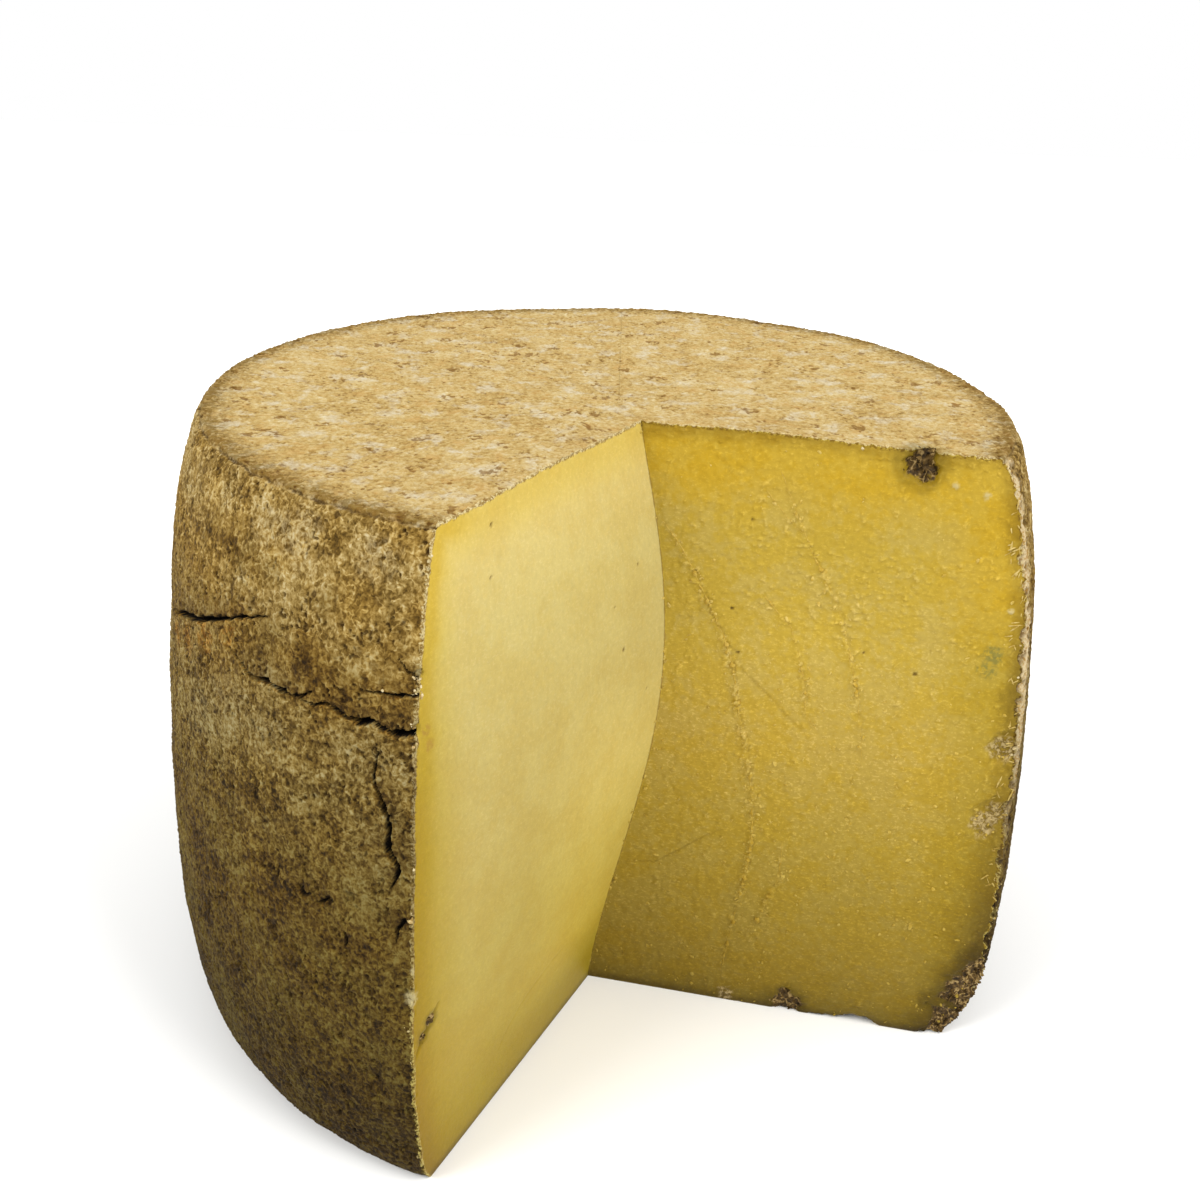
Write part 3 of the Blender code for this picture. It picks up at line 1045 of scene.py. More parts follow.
class WheelBody:
    """The whole wheel at fine resolution, as closed sectors that meet along hidden walls."""

    END_SWEEP = 4.0
    HEART = (0.005, -0.015)
    ROWS = 370
    RINGS = 200
    HALVINGS = (0.5, 0.25)
    RIM_REACH = 18.0 * MM
    RIM_DROP = 5.0 * MM

    def __init__(self, form: WheelForm) -> None:
        """Set out the rows and rings that every sector shares.

        Args:
            form: The wheel's form.
        """
        self.form = form
        self.levels = self.crowded(
            self.ROWS, lambda place: 1.0 + 0.7 * ((place > 0.70) & (place < 0.85)) + 1.2 * (place > 0.975)
        ) * form.height
        self.rings = self.crowded(self.RINGS, lambda place: 1.0 + 1.0 * (place > 0.92))
        self.base_rings = np.append(self.rings[:-1:8], 1.0)

    @staticmethod
    def crowded(count: int, density: Any) -> Array:
        """Make steps from 0 to 1 that are closer where a density is higher.

        Args:
            count: How many steps.
            density: A function that gives the density at places from 0 to 1.

        Returns:
            The ends of the steps.
        """
        places = np.linspace(0.0, 1.0, 2001)
        filled = np.concatenate([[0.0], np.cumsum(density(0.5 * (places[1:] + places[:-1])))])
        return np.interp(np.linspace(0.0, filled[-1], count + 1), filled, places)

    def sweep(self) -> float:
        """Degrees of the wheel that are left."""
        return self.form.left_cut[1] - self.form.right_cut[1]

    def share_of(self, degrees: float) -> float:
        """Share of the way round from the right cut, for an angle at the top."""
        return (degrees - self.form.right_cut[1]) / self.sweep()

    def inner(self, share: Array, level: Array) -> Array:
        """Find where the spokes of the top and base start: at the apex for a cut, else at the heart.

        Args:
            share: Shares of the way round from the right cut.
            level: Heights, as many as the shares.

        Returns:
            The points.
        """
        end_share = self.END_SWEEP / self.sweep()
        near = np.clip(1.0 - np.minimum(share, 1.0 - share) / end_share, 0.0, 1.0)[..., None]
        heart = np.array(self.HEART)
        plan = heart + (self.form.apex(level) - heart) * near
        return np.concatenate([plan, level[..., None]], axis=-1)

    def spokes(self, share: Array, level: Array, ring: Array) -> Array:
        """Points between the spokes' starts and the rind, for arrays of one shape."""
        inside = self.inner(share, level)
        return inside + (self.form.outer(share, level) - inside) * ring[..., None]

    def brow_of(self, points: Array, near: Array) -> Array:
        """Find the way out of the nearer cut face, for points close to one.

        Args:
            points: The points.
            near: Their distances from the cut's edge.

        Returns:
            Directions that shrink to nothing away from the edge.
        """
        level = points[..., 2]
        to_left = np.abs(self.form.from_cut(Cut.LEFT, points))
        to_right = np.abs(self.form.from_cut(Cut.RIGHT, points))
        is_left = (to_left < to_right)[..., None]
        left, right = (self.form.face_out(cut, level) for cut in (Cut.LEFT, Cut.RIGHT))
        facing = np.where(is_left, left, right)
        return facing * (1.0 - smooth(np.abs(near), 0.0, 6.0 * MM))[..., None]

    def cap_values(self, points: Array, ring: Array, upward: float) -> dict[str, Any]:
        """Work out the values on points of the top or the base.

        Args:
            points: The points.
            ring: Their shares of the way out to the rim.
            upward: 1 for the top, -1 for the base.

        Returns:
            The values by name.
        """
        near = np.minimum(self.form.from_edge(Cut.LEFT, points), self.form.from_edge(Cut.RIGHT, points))
        from_rim = (1.0 - ring) * self.form.top_radius
        return {
            "rindness": 1.0, "out": (0.0, 0.0, upward), "brow": self.brow_of(points, near),
            "near_cut": near, "top": 1.0 if upward > 0.0 else 0.0,
            "rim": (1.0 - smooth(from_rim, 0.0, self.RIM_REACH)) if upward > 0.0 else 0.0,
            "skin": 1.0, "calm": 1.0,
        }

    def face_points(self, cut: Cut) -> tuple[Array, dict[str, Any]]:
        """Lay out a cut face between the base and the top.

        Args:
            cut: The cut face.

        Returns:
            Its points by rows of levels and rings, and their values by name.
        """
        form = self.form
        level, ring = np.meshgrid(self.levels, self.rings, indexing="ij")
        share = np.full_like(level, cut.value)
        points = self.spokes(share, level, ring)
        facing = form.face_out(cut, level)
        turn = 1.0 if cut is Cut.LEFT else -1.0
        push = form.face_wave * waves(points, 0.060, 31.0 + cut.value) * np.sin(np.pi * ring)
        inside = (level > 0.0) & (level < form.height)
        points = points + facing * (turn * push * inside)[..., None]
        span = np.linalg.norm(form.outer(share, level) - self.inner(share, level), axis=-1)
        from_side = span * (1.0 - ring)
        from_rind = np.minimum(from_side, form.height - level)
        up = smooth(from_side - (form.height - level), -2.0 * MM, 2.0 * MM)[..., None]
        down = smooth(from_side - level, -2.0 * MM, 2.0 * MM)[..., None]
        out = form.out_of_side(share, level)
        out = out * (1.0 - up) + np.array((0.0, 0.0, 1.0)) * up
        out = out * (1.0 - down) + np.array((0.0, 0.0, -1.0)) * down
        return points, {
            "rindness": 1.0 - smooth(from_rind, 0.0, 3.5 * MM),
            "calm": smooth(span * ring, 0.5 * MM, 5.0 * MM),
            "from_rind": from_rind, "out": out, "brow": facing, "skin": 1.0,
            "right_face": 1.0 if cut is Cut.RIGHT else 0.0,
            "seam": 1.0 - smooth(span * ring, 0.0, 3.0 * MM),
        }

    def build(self, part: Slice) -> Object:
        """Make the closed mesh of one sector, not yet weathered.

        Args:
            part: Its angles, columns and cut.

        Returns:
            The object.
        """
        form = self.form
        draft = MeshDraft()
        shares = np.linspace(self.share_of(part.start), self.share_of(part.end), part.columns + 1)
        if part.cut is not None:
            shares[0 if part.cut is Cut.RIGHT else -1] = part.cut.value
        level, share = np.meshgrid(self.levels, shares, indexing="ij")
        points = form.outer(share, level)
        out = form.out_of_side(share, level)
        out[-1] = (0.0, 0.0, 1.0)
        near = np.minimum(share, 1.0 - share) * math.radians(self.sweep()) * form.belly_radius
        side = draft.add(form.settled(points), {
            "rindness": 1.0, "out": out, "brow": self.brow_of(points, near), "near_cut": near,
            "top": smooth(level, form.height - 4.0 * MM, form.height),
            "rim": smooth(level, form.height - self.RIM_DROP, form.height), "skin": 1.0, "calm": 1.0,
        })
        base_rings = self.base_rings if part.cut is None else self.rings
        top = self.cap(draft, shares, self.rings, form.height, side[-1], part.cut is None)
        base = self.cap(draft, shares, base_rings, 0.0, side[0], part.cut is None)
        draft.grid(side)
        self.close_ends(draft, part, side, top, base)
        return linked(part.name, draft.mesh(part.name))

    def cap(
        self, draft: MeshDraft, shares: Array, rings: Array, height: float, rim: Array,
        pole: bool,
    ) -> Cap:
        """Add the top or base of a sector, with fewer columns towards the middle.

        Args:
            draft: What it is added to.
            shares: The sector's columns.
            rings: The rings, of which the last is the rim.
            height: Height of the face.
            rim: Numbers of the rim's points, which it shares.
            pole: Whether the spokes start at one point.

        Returns:
            The rings' point numbers.
        """
        is_top = height > 0.0
        bounds = (*self.HALVINGS, 0.0)
        zones: list[Array] = []
        outer_edge = 2.0
        for halvings, inner_edge in enumerate(bounds):
            mine = rings[:-1][(rings[:-1] >= inner_edge) & (rings[:-1] < outer_edge)]
            ring, share = np.meshgrid(mine, shares[::2 ** halvings], indexing="ij")
            level = np.full_like(ring, height)
            points = self.spokes(share, level, ring)
            values = self.cap_values(points, ring, 1.0 if is_top else -1.0)
            zones.append(draft.add(self.form.settled(points), values))
            outer_edge = inner_edge
        if pole:
            zones[-1][0, :] = zones[-1][0, 0]
        zones[0] = np.concatenate([zones[0], rim[None, :]])
        for zone in zones:
            draft.grid(zone, turned=is_top)
        for fine, coarse in zip(zones[:-1], zones[1:]):
            draft.stitch(coarse[-1], fine[0], turned=is_top)
        return Cap([ring for zone in zones[::-1] for ring in zone])

    def close_ends(self, draft: MeshDraft, part: Slice, side: Array, top: Cap, base: Cap) -> None:
        """Close a sector's two ends: a cut face where it has one, else a hidden wall.

        Args:
            draft: What it is added to.
            part: The sector.
            side: Point numbers of its side.
            top: Its top.
            base: Its base.
        """
        form = self.form
        half = 0.5 * form.height
        heart = np.array(self.HEART)
        for column, cut in ((0, Cut.RIGHT), (-1, Cut.LEFT)):
            if part.cut is cut:
                continue
            outline = [*base.border(column), *side[1:, column].tolist(), *top.border(column)[-2::-1]]
            angle = math.radians(part.start if column == 0 else part.end)
            rind = form.belly_radius * np.array((math.cos(angle), math.sin(angle)))
            middle = 0.5 * (rind + heart)
            draft.fan(outline, np.array((middle[0], middle[1], half)), turned=column == 0)
        if part.cut is None:
            return
        column = 0 if part.cut is Cut.RIGHT else -1
        points, values = self.face_points(part.cut)
        own = {name: self.crop(value) for name, value in values.items()}
        inside = draft.add(form.settled(points[1:-1, :-1]), own)
        rows = np.concatenate([inside, side[1:-1, column][:, None]], axis=1)
        first, last = (np.array(cap.border(column))[None, :] for cap in (base, top))
        face = np.concatenate([first, rows, last])
        draft.grid(face, turned=part.cut is Cut.LEFT)
        order = slice(None) if part.cut is Cut.RIGHT else slice(None, None, -1)
        inner_loop = [*base.rings[0][order], *top.rings[0][order][::-1], *face[1:-1, 0][::-1]]
        centre = 0.5 * (form.apex(np.array(half)) + heart)
        draft.fan(inner_loop, np.array((centre[0], centre[1], half)), turned=part.cut is Cut.LEFT)

    @staticmethod
    def crop(value: Any) -> Any:
        """The part of a face's values that belongs to its own points, without its borders."""
        array = np.asarray(value, float)
        return array[1:-1, :-1] if array.ndim >= 2 else value


@dataclass(frozen=True)
class Reading:
    """What the weathering reads at each point of the surface."""

    spot: Term
    out: Term
    brow: Term
    rindness: Term
    from_rind: Term
    near_cut: Term
    top: Term
    calm: Term
    right_face: Term
    off_base: Term


class Weathering:
    """The tree that gives every sector its cracks, hollows, pits, grain and crumbly edges."""

    def __init__(self, form: WheelForm, material: Material) -> None:
        """Place the cracks, wire marks and hollows on the form.

        Args:
            form: The wheel's form.
            material: What the surface is dressed in.
        """
        self.form = form
        self.helpers = {
            "Cracks": self.lay_cracks(), "Ridges": self.lay_marks("ridge_lines", True),
            "Grooves": self.lay_marks("groove_lines", False), "Pinholes": self.lay_pinholes(),
            "Rim": self.lay_rim(),
        }
        self.tree = GeometryTree("weathering", {
            "Grain Size": 1.9 * MM, "Grain Height": 0.7 * MM,
            "Knob Size": 3.6 * MM, "Knob Height": 0.7 * MM,
            "Lump Size": 10.0 * MM, "Lump Height": 1.3 * MM,
            "Curl Height": 0.45 * MM, "Pit Depth": 1.2 * MM, "Rim Depth": 1.4 * MM,
            "Curd Size": 2.1 * MM, "Curd Height": 0.7 * MM,
            "Ridge Height": 0.9 * MM, "Groove Depth": 0.55 * MM,
            "Edge Height": 2.7 * MM, "Pock Depth": 2.0 * MM,
            **self.helpers, "Material": material,
        })
        self.here = self.read_surface()
        self.masks: dict[str, Term] = {}
        self.write()

    def lay_cracks(self) -> Object:
        """Lay every crack's route on the side rind, jagged and narrowing to its tips.

        Returns:
            The helper object.
        """
        form = self.form
        lines = LineSet("crack_lines")
        for number, crack in enumerate(CRACKS.values()):
            route = np.array(crack.route)
            arc = np.column_stack([np.radians(route[:, 0]) * form.belly_radius, route[:, 1] * MM])
            spots, along = LineSet.spread(arc)
            jitter = np.column_stack([spots, np.full(len(spots), 0.01 * number)])
            sway = [waves(jitter, 3.2 * MM, seed) for seed in (7.0, 19.0)]
            spots = spots + 0.8 * MM * np.column_stack(sway)
            angle = spots[:, 0] / form.belly_radius
            level = spots[:, 1]
            right = form.cut_angle(level, Cut.RIGHT)
            share = (angle - right) / (form.cut_angle(level, Cut.LEFT) - right)
            points = form.settled(form.outer(share, level))
            reach = np.where(along < crack.widest, crack.widest, 1.0 - crack.widest)
            swell = np.clip(1.0 - np.abs(along - crack.widest) / reach, 0.0, 1.0) ** 0.6
            if route[-1, 0] > form.left_cut[1]:
                swell = np.where(along > crack.widest, np.maximum(swell, 0.7), swell)
            swell = np.clip(swell * (0.95 + 0.9 * waves(jitter, 5.0 * MM, 3.0)), 0.30, 1.15)
            lines.add(points, 0.5 * crack.width * MM * swell, crack.depth * MM * swell ** 0.7)
        return lines.helper()

    def lay_marks(self, name: str, ridges: bool) -> Object:
        """Lay the marks of the cutting wire on the cut faces.

        Args:
            name: Name of the helper object.
            ridges: Whether to lay the ridges or, just beside them, the grooves.

        Returns:
            The helper object.
        """
        lines = LineSet(name)
        for number, mark in enumerate(WIRE_MARKS.values()):
            strength = mark.ridge if ridges else mark.groove
            if strength <= 0.0:
                continue
            spots, along = LineSet.spread(np.array(mark.route) * MM)
            beside = 1.0 * MM if not ridges and mark.ridge > 0.0 else 0.0
            jitter = np.column_stack([spots, np.full(len(spots), 0.01 * number)])
            distance = spots[:, 0] + beside + 0.35 * MM * waves(jitter, 4.0 * MM, 9.0)
            points = self.form.on_face(mark.cut, distance, spots[:, 1])
            fade = np.clip(np.sin(np.pi * along), 0.0, 1.0) ** 0.4
            width = (1.3 if ridges else 0.5 + 0.22 * strength) * MM
            lines.add(points, np.full(len(points), width), strength * fade)
        return lines.helper()

    def lay_rim(self) -> Object:
        """Lay the broken, wandering crease where the side's rind meets the top's.

        Returns:
            The helper object.
        """
        form = self.form
        rim = LineSet("rim_line")
        steps = int(2.0 * math.pi * form.top_radius / LineSet.STEP)
        share = np.linspace(0.0, 1.0, steps)
        round_it = np.column_stack([share, np.zeros(steps), np.zeros(steps)])
        drop = 1.3 * MM * (1.0 + waves(round_it, 0.010, 61.0) + 0.7 * waves(round_it, 0.0035, 63.0))
        points = form.settled(form.outer(share, form.height - drop))
        strength = np.clip(0.62 + 1.1 * waves(round_it, 0.014, 65.0), 0.1, 1.0)
        rim.add(points, 1.3 * MM * strength ** 0.5, strength)
        return rim.helper()

    def lay_pinholes(self) -> Object:
        """Place the small holes of the cut faces.

        Returns:
            The helper object.
        """
        holes = LineSet("pinholes")
        for cut, spots in PINHOLES.items():
            places = np.array(spots) * MM
            sizes = 0.62 * MM * (1.0 + 0.5 * np.sin(np.arange(len(spots)) * 2.4))
            points = self.form.on_face(cut, places[:, 0], places[:, 1])
            holes.add(points, sizes, np.ones(len(spots)), joined=False)
        return holes.helper()

    def read_surface(self) -> Reading:
        """Read what the sectors carry.

        Returns:
            The terms that the tree's expressions use.
        """
        tree = self.tree
        spot = tree.place()
        vectors = [tree.read(name, "FLOAT_VECTOR") for name in ("out", "brow")]
        names = ("rindness", "from_rind", "near_cut", "top", "calm", "right_face")
        off_base = spot.part("Z").rise(0.5 * MM, 5.0 * MM)
        return Reading(spot, *vectors, *(tree.read(name) for name in names), off_base)

    def rind_lift(self) -> Term:
        """Raise and sink the rind: grain, knobs, curled fibres, lumps, pits and the rim's crease.

        Returns:
            How far it stands out.
        """
        tree = self.tree
        here = self.here
        spot = here.spot
        grain = tree.noise(spot, tree.input("Grain Size"), 3.0, 3.1) - 0.5
        curly = tree.warped(spot, 5.0 * MM, 4.0 * MM, 9.0)
        knob = tree.noise(curly, tree.input("Knob Size"), 1.0, 13.7) - 0.5
        curl = tree.curls(spot, 4.4 * MM, 6.0)
        lump = tree.noise(spot, tree.input("Lump Size"), 2.0, 8.3) - 0.5
        clusters = tree.noise(spot, 14.0 * MM, 2.0, 5.5).rise(0.46, 0.60)
        cell = tree.cells(tree.warped(spot, 2.0 * MM, 1.6 * MM, 2.0), 3.0 * MM, 4.4)
        ring = tree.cells(tree.warped(spot, 3.0 * MM, 2.6 * MM, 52.0), 7.0 * MM, 14.4)
        broken = tree.noise(spot, 3.0 * MM, 1.0, 55.0).rise(0.46, 0.60)
        crescent = abs(ring - 0.27).rise(0.10, 0.03) * broken * (1.0 - here.top * 0.8)
        burst = tree.cells(tree.warped(spot, 5.0 * MM, 5.0 * MM, 62.0), 19.0 * MM, 24.4).rise(0.27, 0.16)
        burst = burst * tree.noise(spot, 3.6 * MM, 1.0, 64.0).rise(0.46, 0.54) * (here.top * 0.7 + 0.3)
        pit = ((cell.rise(0.42, 0.14) + crescent) * clusters + burst).below(1.0)
        rim = tree.nearest("Rim", spot)
        ragged = (tree.noise(spot, 2.0 * MM, 2.0, 45.0) - 0.5) * (2.6 * MM)
        crease = (rim.gap + ragged).rise(rim.width * 1.3, rim.width * 0.2) * rim.strength
        self.masks["lift"] = (grain * 1.3 + knob * 0.7 + curl * 0.18 + lump * 0.4) * here.rindness
        self.masks["pit"] = pit * here.rindness
        self.masks["crease"] = crease
        return (
            grain * tree.input("Grain Height") * (1.0 - here.top * 0.25)
            + knob * tree.input("Knob Height") * (1.0 - here.top * 0.3)
            + curl * tree.input("Curl Height")
            + lump * tree.input("Lump Height") * (1.0 - here.top * 0.45)
            - pit * tree.input("Pit Depth") * (1.0 - here.top * 0.5)
            - crease * tree.input("Rim Depth")
            - 0.45 * MM
        )

    def paste_lift(self) -> Term:
        """Raise and sink the paste: wire marks, curd grains, smears and pinholes.

        Returns:
            How far it stands out.
        """
        tree = self.tree
        here = self.here
        spot = here.spot
        ridge = tree.nearest("Ridges", spot)
        broken = tree.noise(spot, 6.0 * MM, 1.0, 12.0).rise(0.36, 0.60)
        lumpy = tree.noise(spot, 1.9 * MM, 1.0, 13.0).rise(0.36, 0.62)
        crest = ridge.gap.rise(ridge.width * 1.7, ridge.width * 0.1) * ridge.strength
        crest = crest * (broken * lumpy + broken * 0.3 + 0.06)
        groove = tree.nearest("Grooves", spot)
        hollow = groove.gap.rise(groove.width * 1.2, groove.width * 0.1) * groove.strength
        field = tree.noise(spot, 16.0 * MM, 1.0, 14.0).rise(0.36, 0.66)
        curd = tree.noise(tree.warped(spot, 3.0 * MM, 1.5 * MM, 15.0), tree.input("Curd Size"), 1.0, 16.0)
        near_ridge = ridge.gap.rise(6.0 * MM, 0.5 * MM) * ridge.strength
        crumbly = field * 0.5 + near_ridge * 0.8 * broken + 0.3
        grains = curd.rise(0.54, 0.72) * crumbly * here.right_face
        swell = tree.noise(spot, 4.2 * MM, 1.0, 18.0) - 0.5
        smear = tree.noise(spot * (1.0, 1.0, 0.45), 7.0 * MM, 2.0, 21.0) - 0.5
        pinhole = tree.nearest("Pinholes", spot, "POINTS")
        hole = pinhole.gap.rise(pinhole.width * 1.3, pinhole.width * 0.4)
        inside = here.from_rind.rise(2.0 * MM, 6.0 * MM)
        self.masks["grain"] = grains + crest * 0.7
        self.masks["groove"] = hollow.below(1.0)
        self.masks["hole"] = hole
        specks = tree.noise(spot, 11.0 * MM, 2.0, 19.0).rise(0.44, 0.62)
        low = spot.part("Z").rise(230.0 * MM, 110.0 * MM)
        spread = specks * (low * 0.55 + 0.06) + near_ridge * broken * 2.6 + 0.02
        seam = tree.read("seam") * tree.noise(spot, 5.0 * MM, 1.0, 20.0).rise(0.44, 0.60) * (low * 5.0 + 0.6)
        self.masks["curd"] = (spread * here.right_face + seam) * inside
        return (
            crest * tree.input("Ridge Height")
            - hollow * tree.input("Groove Depth")
            + grains * tree.input("Curd Height")
            + swell * (0.75 * MM) * (here.right_face + 0.12)
            + smear * (0.30 * MM) * (here.right_face * 0.8 + 0.3)
            + (curd - 0.5) * (0.30 * MM) * (here.right_face + 0.3)
            - hole * (0.9 * MM)
        )

    def crack_drop(self) -> Term:
        """Cut the cracks with torn lips, and mark their lips and the painted shadow on their upper sides.

        Returns:
            How deep they cut.
        """
        tree = self.tree
        here = self.here
        crack = tree.nearest("Cracks", here.spot)
        tear = (tree.noise(here.spot, 2.0 * MM, 2.0, 37.0) - 0.5) * (0.9 * MM)
        gap = crack.gap + tear
        split = (1.0 - gap / crack.width).above(0.0).below(1.0) ** 0.7
        drop = (split * crack.strength - here.from_rind).above(0.0)
        under = crack.over.rise(0.15, -0.35)
        near = gap.rise(crack.width + 1.2 * MM, crack.width * 0.8)
        far = gap.rise(crack.width + 13.0 * MM, crack.width)
        self.masks["crack"] = drop.rise(0.1 * MM, 1.0 * MM)
        self.masks["lip"] = near * under * here.rindness * crack.width.rise(0.2 * MM, 0.8 * MM)
        # Painted shadow on the upper side of each crack
        self.masks["dusk"] = far * (1.0 - under) * here.rindness * crack.width.rise(0.3 * MM, 1.0 * MM)
        self.masks["crack_end"] = crack.gap.rise(6.0 * MM, 1.0 * MM)
        return drop

    def edge_push(self) -> Term:
        """Crumble the cut edges along the rind's and the face's own directions.

        Returns:
            Which way and how far they are pushed.
        """
        tree = self.tree
        here = self.here
        level = here.spot.part("Z")
        strip = here.spot.part("X").rise(*RIGHT_SIDE) * level.rise(self.form.height, 294.0 * MM)
        edge = here.near_cut.rise(4.0 * MM, 0.0) * here.from_rind.rise(3.0 * MM, 0.0)
        band = here.near_cut.rise(10.0 * MM, 4.0 * MM) * here.from_rind.rise(3.0 * MM, 0.0) * strip
        ragged = tree.noise(here.spot, 3.4 * MM, 1.2, 27.0) - 0.52
        torn = tree.noise(here.spot, 4.0 * MM, 1.5, 33.0) - 0.47
        pock = tree.cells(tree.warped(here.spot, 3.0 * MM, 3.0 * MM, 83.0), 7.0 * MM, 84.5).rise(0.52, 0.26)
        pock = pock * here.near_cut.rise(13.0 * MM, 8.0 * MM) * here.rindness * strip
        clusters = tree.noise(here.spot, 8.0 * MM, 1.0, 35.0).rise(0.44, 0.66)
        ends = self.masks["crack_end"]
        on_side = level.rise(297.0 * MM, 290.0 * MM) * 0.75 + 0.25
        self.masks["edge"] = edge
        self.masks["pock"] = pock
        self.masks["crumb"] = (edge * (clusters * 0.7 + ends * 6.0) * on_side + band * 0.5) * here.off_base
        height = tree.input("Edge Height")
        push = here.out * (ragged * (edge + band * 0.6)) + here.brow * (torn * edge * 0.5)
        return push * (height * here.off_base) - here.out * (pock * tree.input("Pock Depth"))

    def hollow_places(self, hollow: Hollow) -> tuple[Triple, Triple]:
        """Place a hollow on the form.

        Args:
            hollow: The hollow.

        Returns:
            Its centre, and which way and how far its middle is bitten in.
        """
        form = self.form
        level = np.array(max(0.0, hollow.height) * MM)
        angle = form.cut_angle(level, hollow.cut)
        rind = form.side_radius(level) * np.array((np.cos(angle), np.sin(angle)))
        along = -form.along_face(hollow.cut, level)
        plan = rind + along * hollow.inward * MM
        into, inward, up = hollow.bite
        way = np.array((along[0] * inward, along[1] * inward, up)) - form.face_out(hollow.cut, level) * into
        way = way / np.linalg.norm(way) * hollow.depth * MM
        return (float(plan[0]), float(plan[1]), hollow.height * MM), tuple(float(part) for part in way)

    def hollow_push(self) -> Term:
        """Bite the hollows in, clotted where they are mouldy.

        Returns:
            Which way and how far they are pushed.
        """
        tree = self.tree
        here = self.here
        mould: Value = 0.0
        stain: Value = 0.0
        push: Optional[Term] = None
        rough = tree.noise(here.spot, 7.5 * MM, 1.2, 41.0) - 0.5
        for hollow in HOLLOWS.values():
            centre, way = self.hollow_places(hollow)
            radius = hollow.radius * MM
            reach = ((here.spot - centre).length() + rough * (1.3 * radius)) / radius
            inside = (1.0 - reach ** 2.0).above(0.0)
            bite = tree.vector(way) * inside ** 0.65
            push = bite if push is None else push + bite
            mould = inside.rise(0.0, 0.5) * hollow.mould + mould
            stain = reach.rise(1.95, 0.85) * hollow.mould + stain
        mould = mould.below(1.0)
        self.masks["mould"] = mould
        self.masks["stain"] = stain.below(1.0)
        self.masks["clot"] = mould * tree.noise(here.spot, 4.0 * MM, 1.0, 47.0).rise(0.35, 0.6)
        clotted = (tree.noise(here.spot, 2.6 * MM, 3.0, 51.0) - 0.5) * mould
        way_up = tree.blend_vectors(here.rindness, here.brow, here.out)
        return push + way_up * (clotted * (2.4 * MM) * here.off_base)

    def blots(self, places: Sequence[tuple[Triple, float]], rough: Term, ragged: float, reach: Pair) -> Term:
        """Mark some round places with ragged, soft outlines.

        Args:
            places: Their centres and radii.
            rough: Noise about zero that frays the outlines.
            ragged: How far it does, as a share of the radius.
            reach: Where a place starts and where it is full, as shares of the radius.

        Returns:
            The mask, from 0 to 1.
        """
        outer, inner = reach
        mask: Value = 0.0
        for centre, radius in places:
            gap = (self.here.spot - centre).length() + rough * (ragged * radius)
            mask = gap.rise(radius * outer, radius * inner) + mask
        return mask.below(1.0)

    def patch_lift(self) -> Term:
        """Mark the crumbly patches on the cut faces.

        Returns:
            How far they stand out.
        """
        tree = self.tree
        spot = self.here.spot
        rough = tree.noise(tree.warped(spot, 4.0 * MM, 3.0 * MM, 54.0), 4.0 * MM, 3.0, 53.0) - 0.5
        for bloom, patches in FACE_PATCHES.items():
            places = []
            for cut, distance, height, radius in patches:
                centre = self.form.on_face(cut, np.array(distance * MM), np.array(height * MM))
                places.append((tuple(float(part) for part in centre), radius * MM))
            self.masks[bloom.value] = self.blots(places, rough, 1.9, (1.15, 0.55))
        flaky = tree.noise(spot, 2.0 * MM, 2.0, 57.0) - 0.45
        return (self.masks["chalk"] * 4.0 + self.masks["cream"] * 3.0) * flaky * MM

    def mark_smudges(self) -> None:
        """Mark the broad smudges of the side rind."""
        tree = self.tree
        rough = tree.noise(tree.warped(self.here.spot, 12.0 * MM, 8.0 * MM, 66.0), 9.0 * MM, 3.0, 67.0) - 0.5
        for tone, smudges in SMUDGES.items():
            places = []
            for degrees, height, radius in smudges:
                level = height * MM
                angle = math.radians(degrees)
                span = float(self.form.side_radius(np.array(level)))
                places.append(((span * math.cos(angle), span * math.sin(angle), level), radius * MM))
            self.masks[tone.value] = self.blots(places, rough, 2.0, (1.3, 0.3))

    def flakes(self) -> Term:
        """Mark where thin flakes hang beside the rind of the right cut.

        Returns:
            The mask.
        """
        here = self.here
        clusters = self.tree.noise(here.spot, 10.0 * MM, 1.0, 59.0).rise(0.40, 0.56)
        beside = here.from_rind.rise(8.0 * MM, 1.0 * MM) * here.from_rind.rise(0.2 * MM, 1.0 * MM)
        level = here.spot.part("Z")
        between = level.rise(286.0 * MM, 274.0 * MM) * level.rise(60.0 * MM, 160.0 * MM)
        return beside * (clusters + 0.10) * here.right_face * between

    def write(self) -> None:
        """Write the tree: keep every mask, then move the surface."""
        tree = self.tree
        here = self.here
        rind = self.rind_lift()
        paste = self.paste_lift()
        drop = self.crack_drop()
        edge = self.edge_push()
        hollows = self.hollow_push()
        patches = self.patch_lift()
        self.masks["flake"] = self.flakes()
        self.mark_smudges()
        way_up = tree.blend_vectors(here.rindness, here.brow, here.out)
        lift = rind * here.rindness + (paste + patches) * (1.0 - here.rindness) * here.calm
        moved = way_up * (lift * here.off_base) + edge + hollows - here.out * drop
        shape = tree.input("Geometry")
        for name, value in self.masks.items():
            shape = tree.store(shape, name, value)
        values = {"Geometry": shape, "Offset": moved * tree.read("skin")}
        tree.finish(tree.node("GeometryNodeSetPosition", {}, values), tree.input("Material"))

    def apply(self, item: Object) -> Object:
        """Weather one sector."""
        return self.tree.apply(item)

    def clear(self) -> None:
        """Remove the helper lines once every sector has read them."""
        for helper in self.helpers.values():
            bpy.data.objects.remove(helper, do_unlink=True)


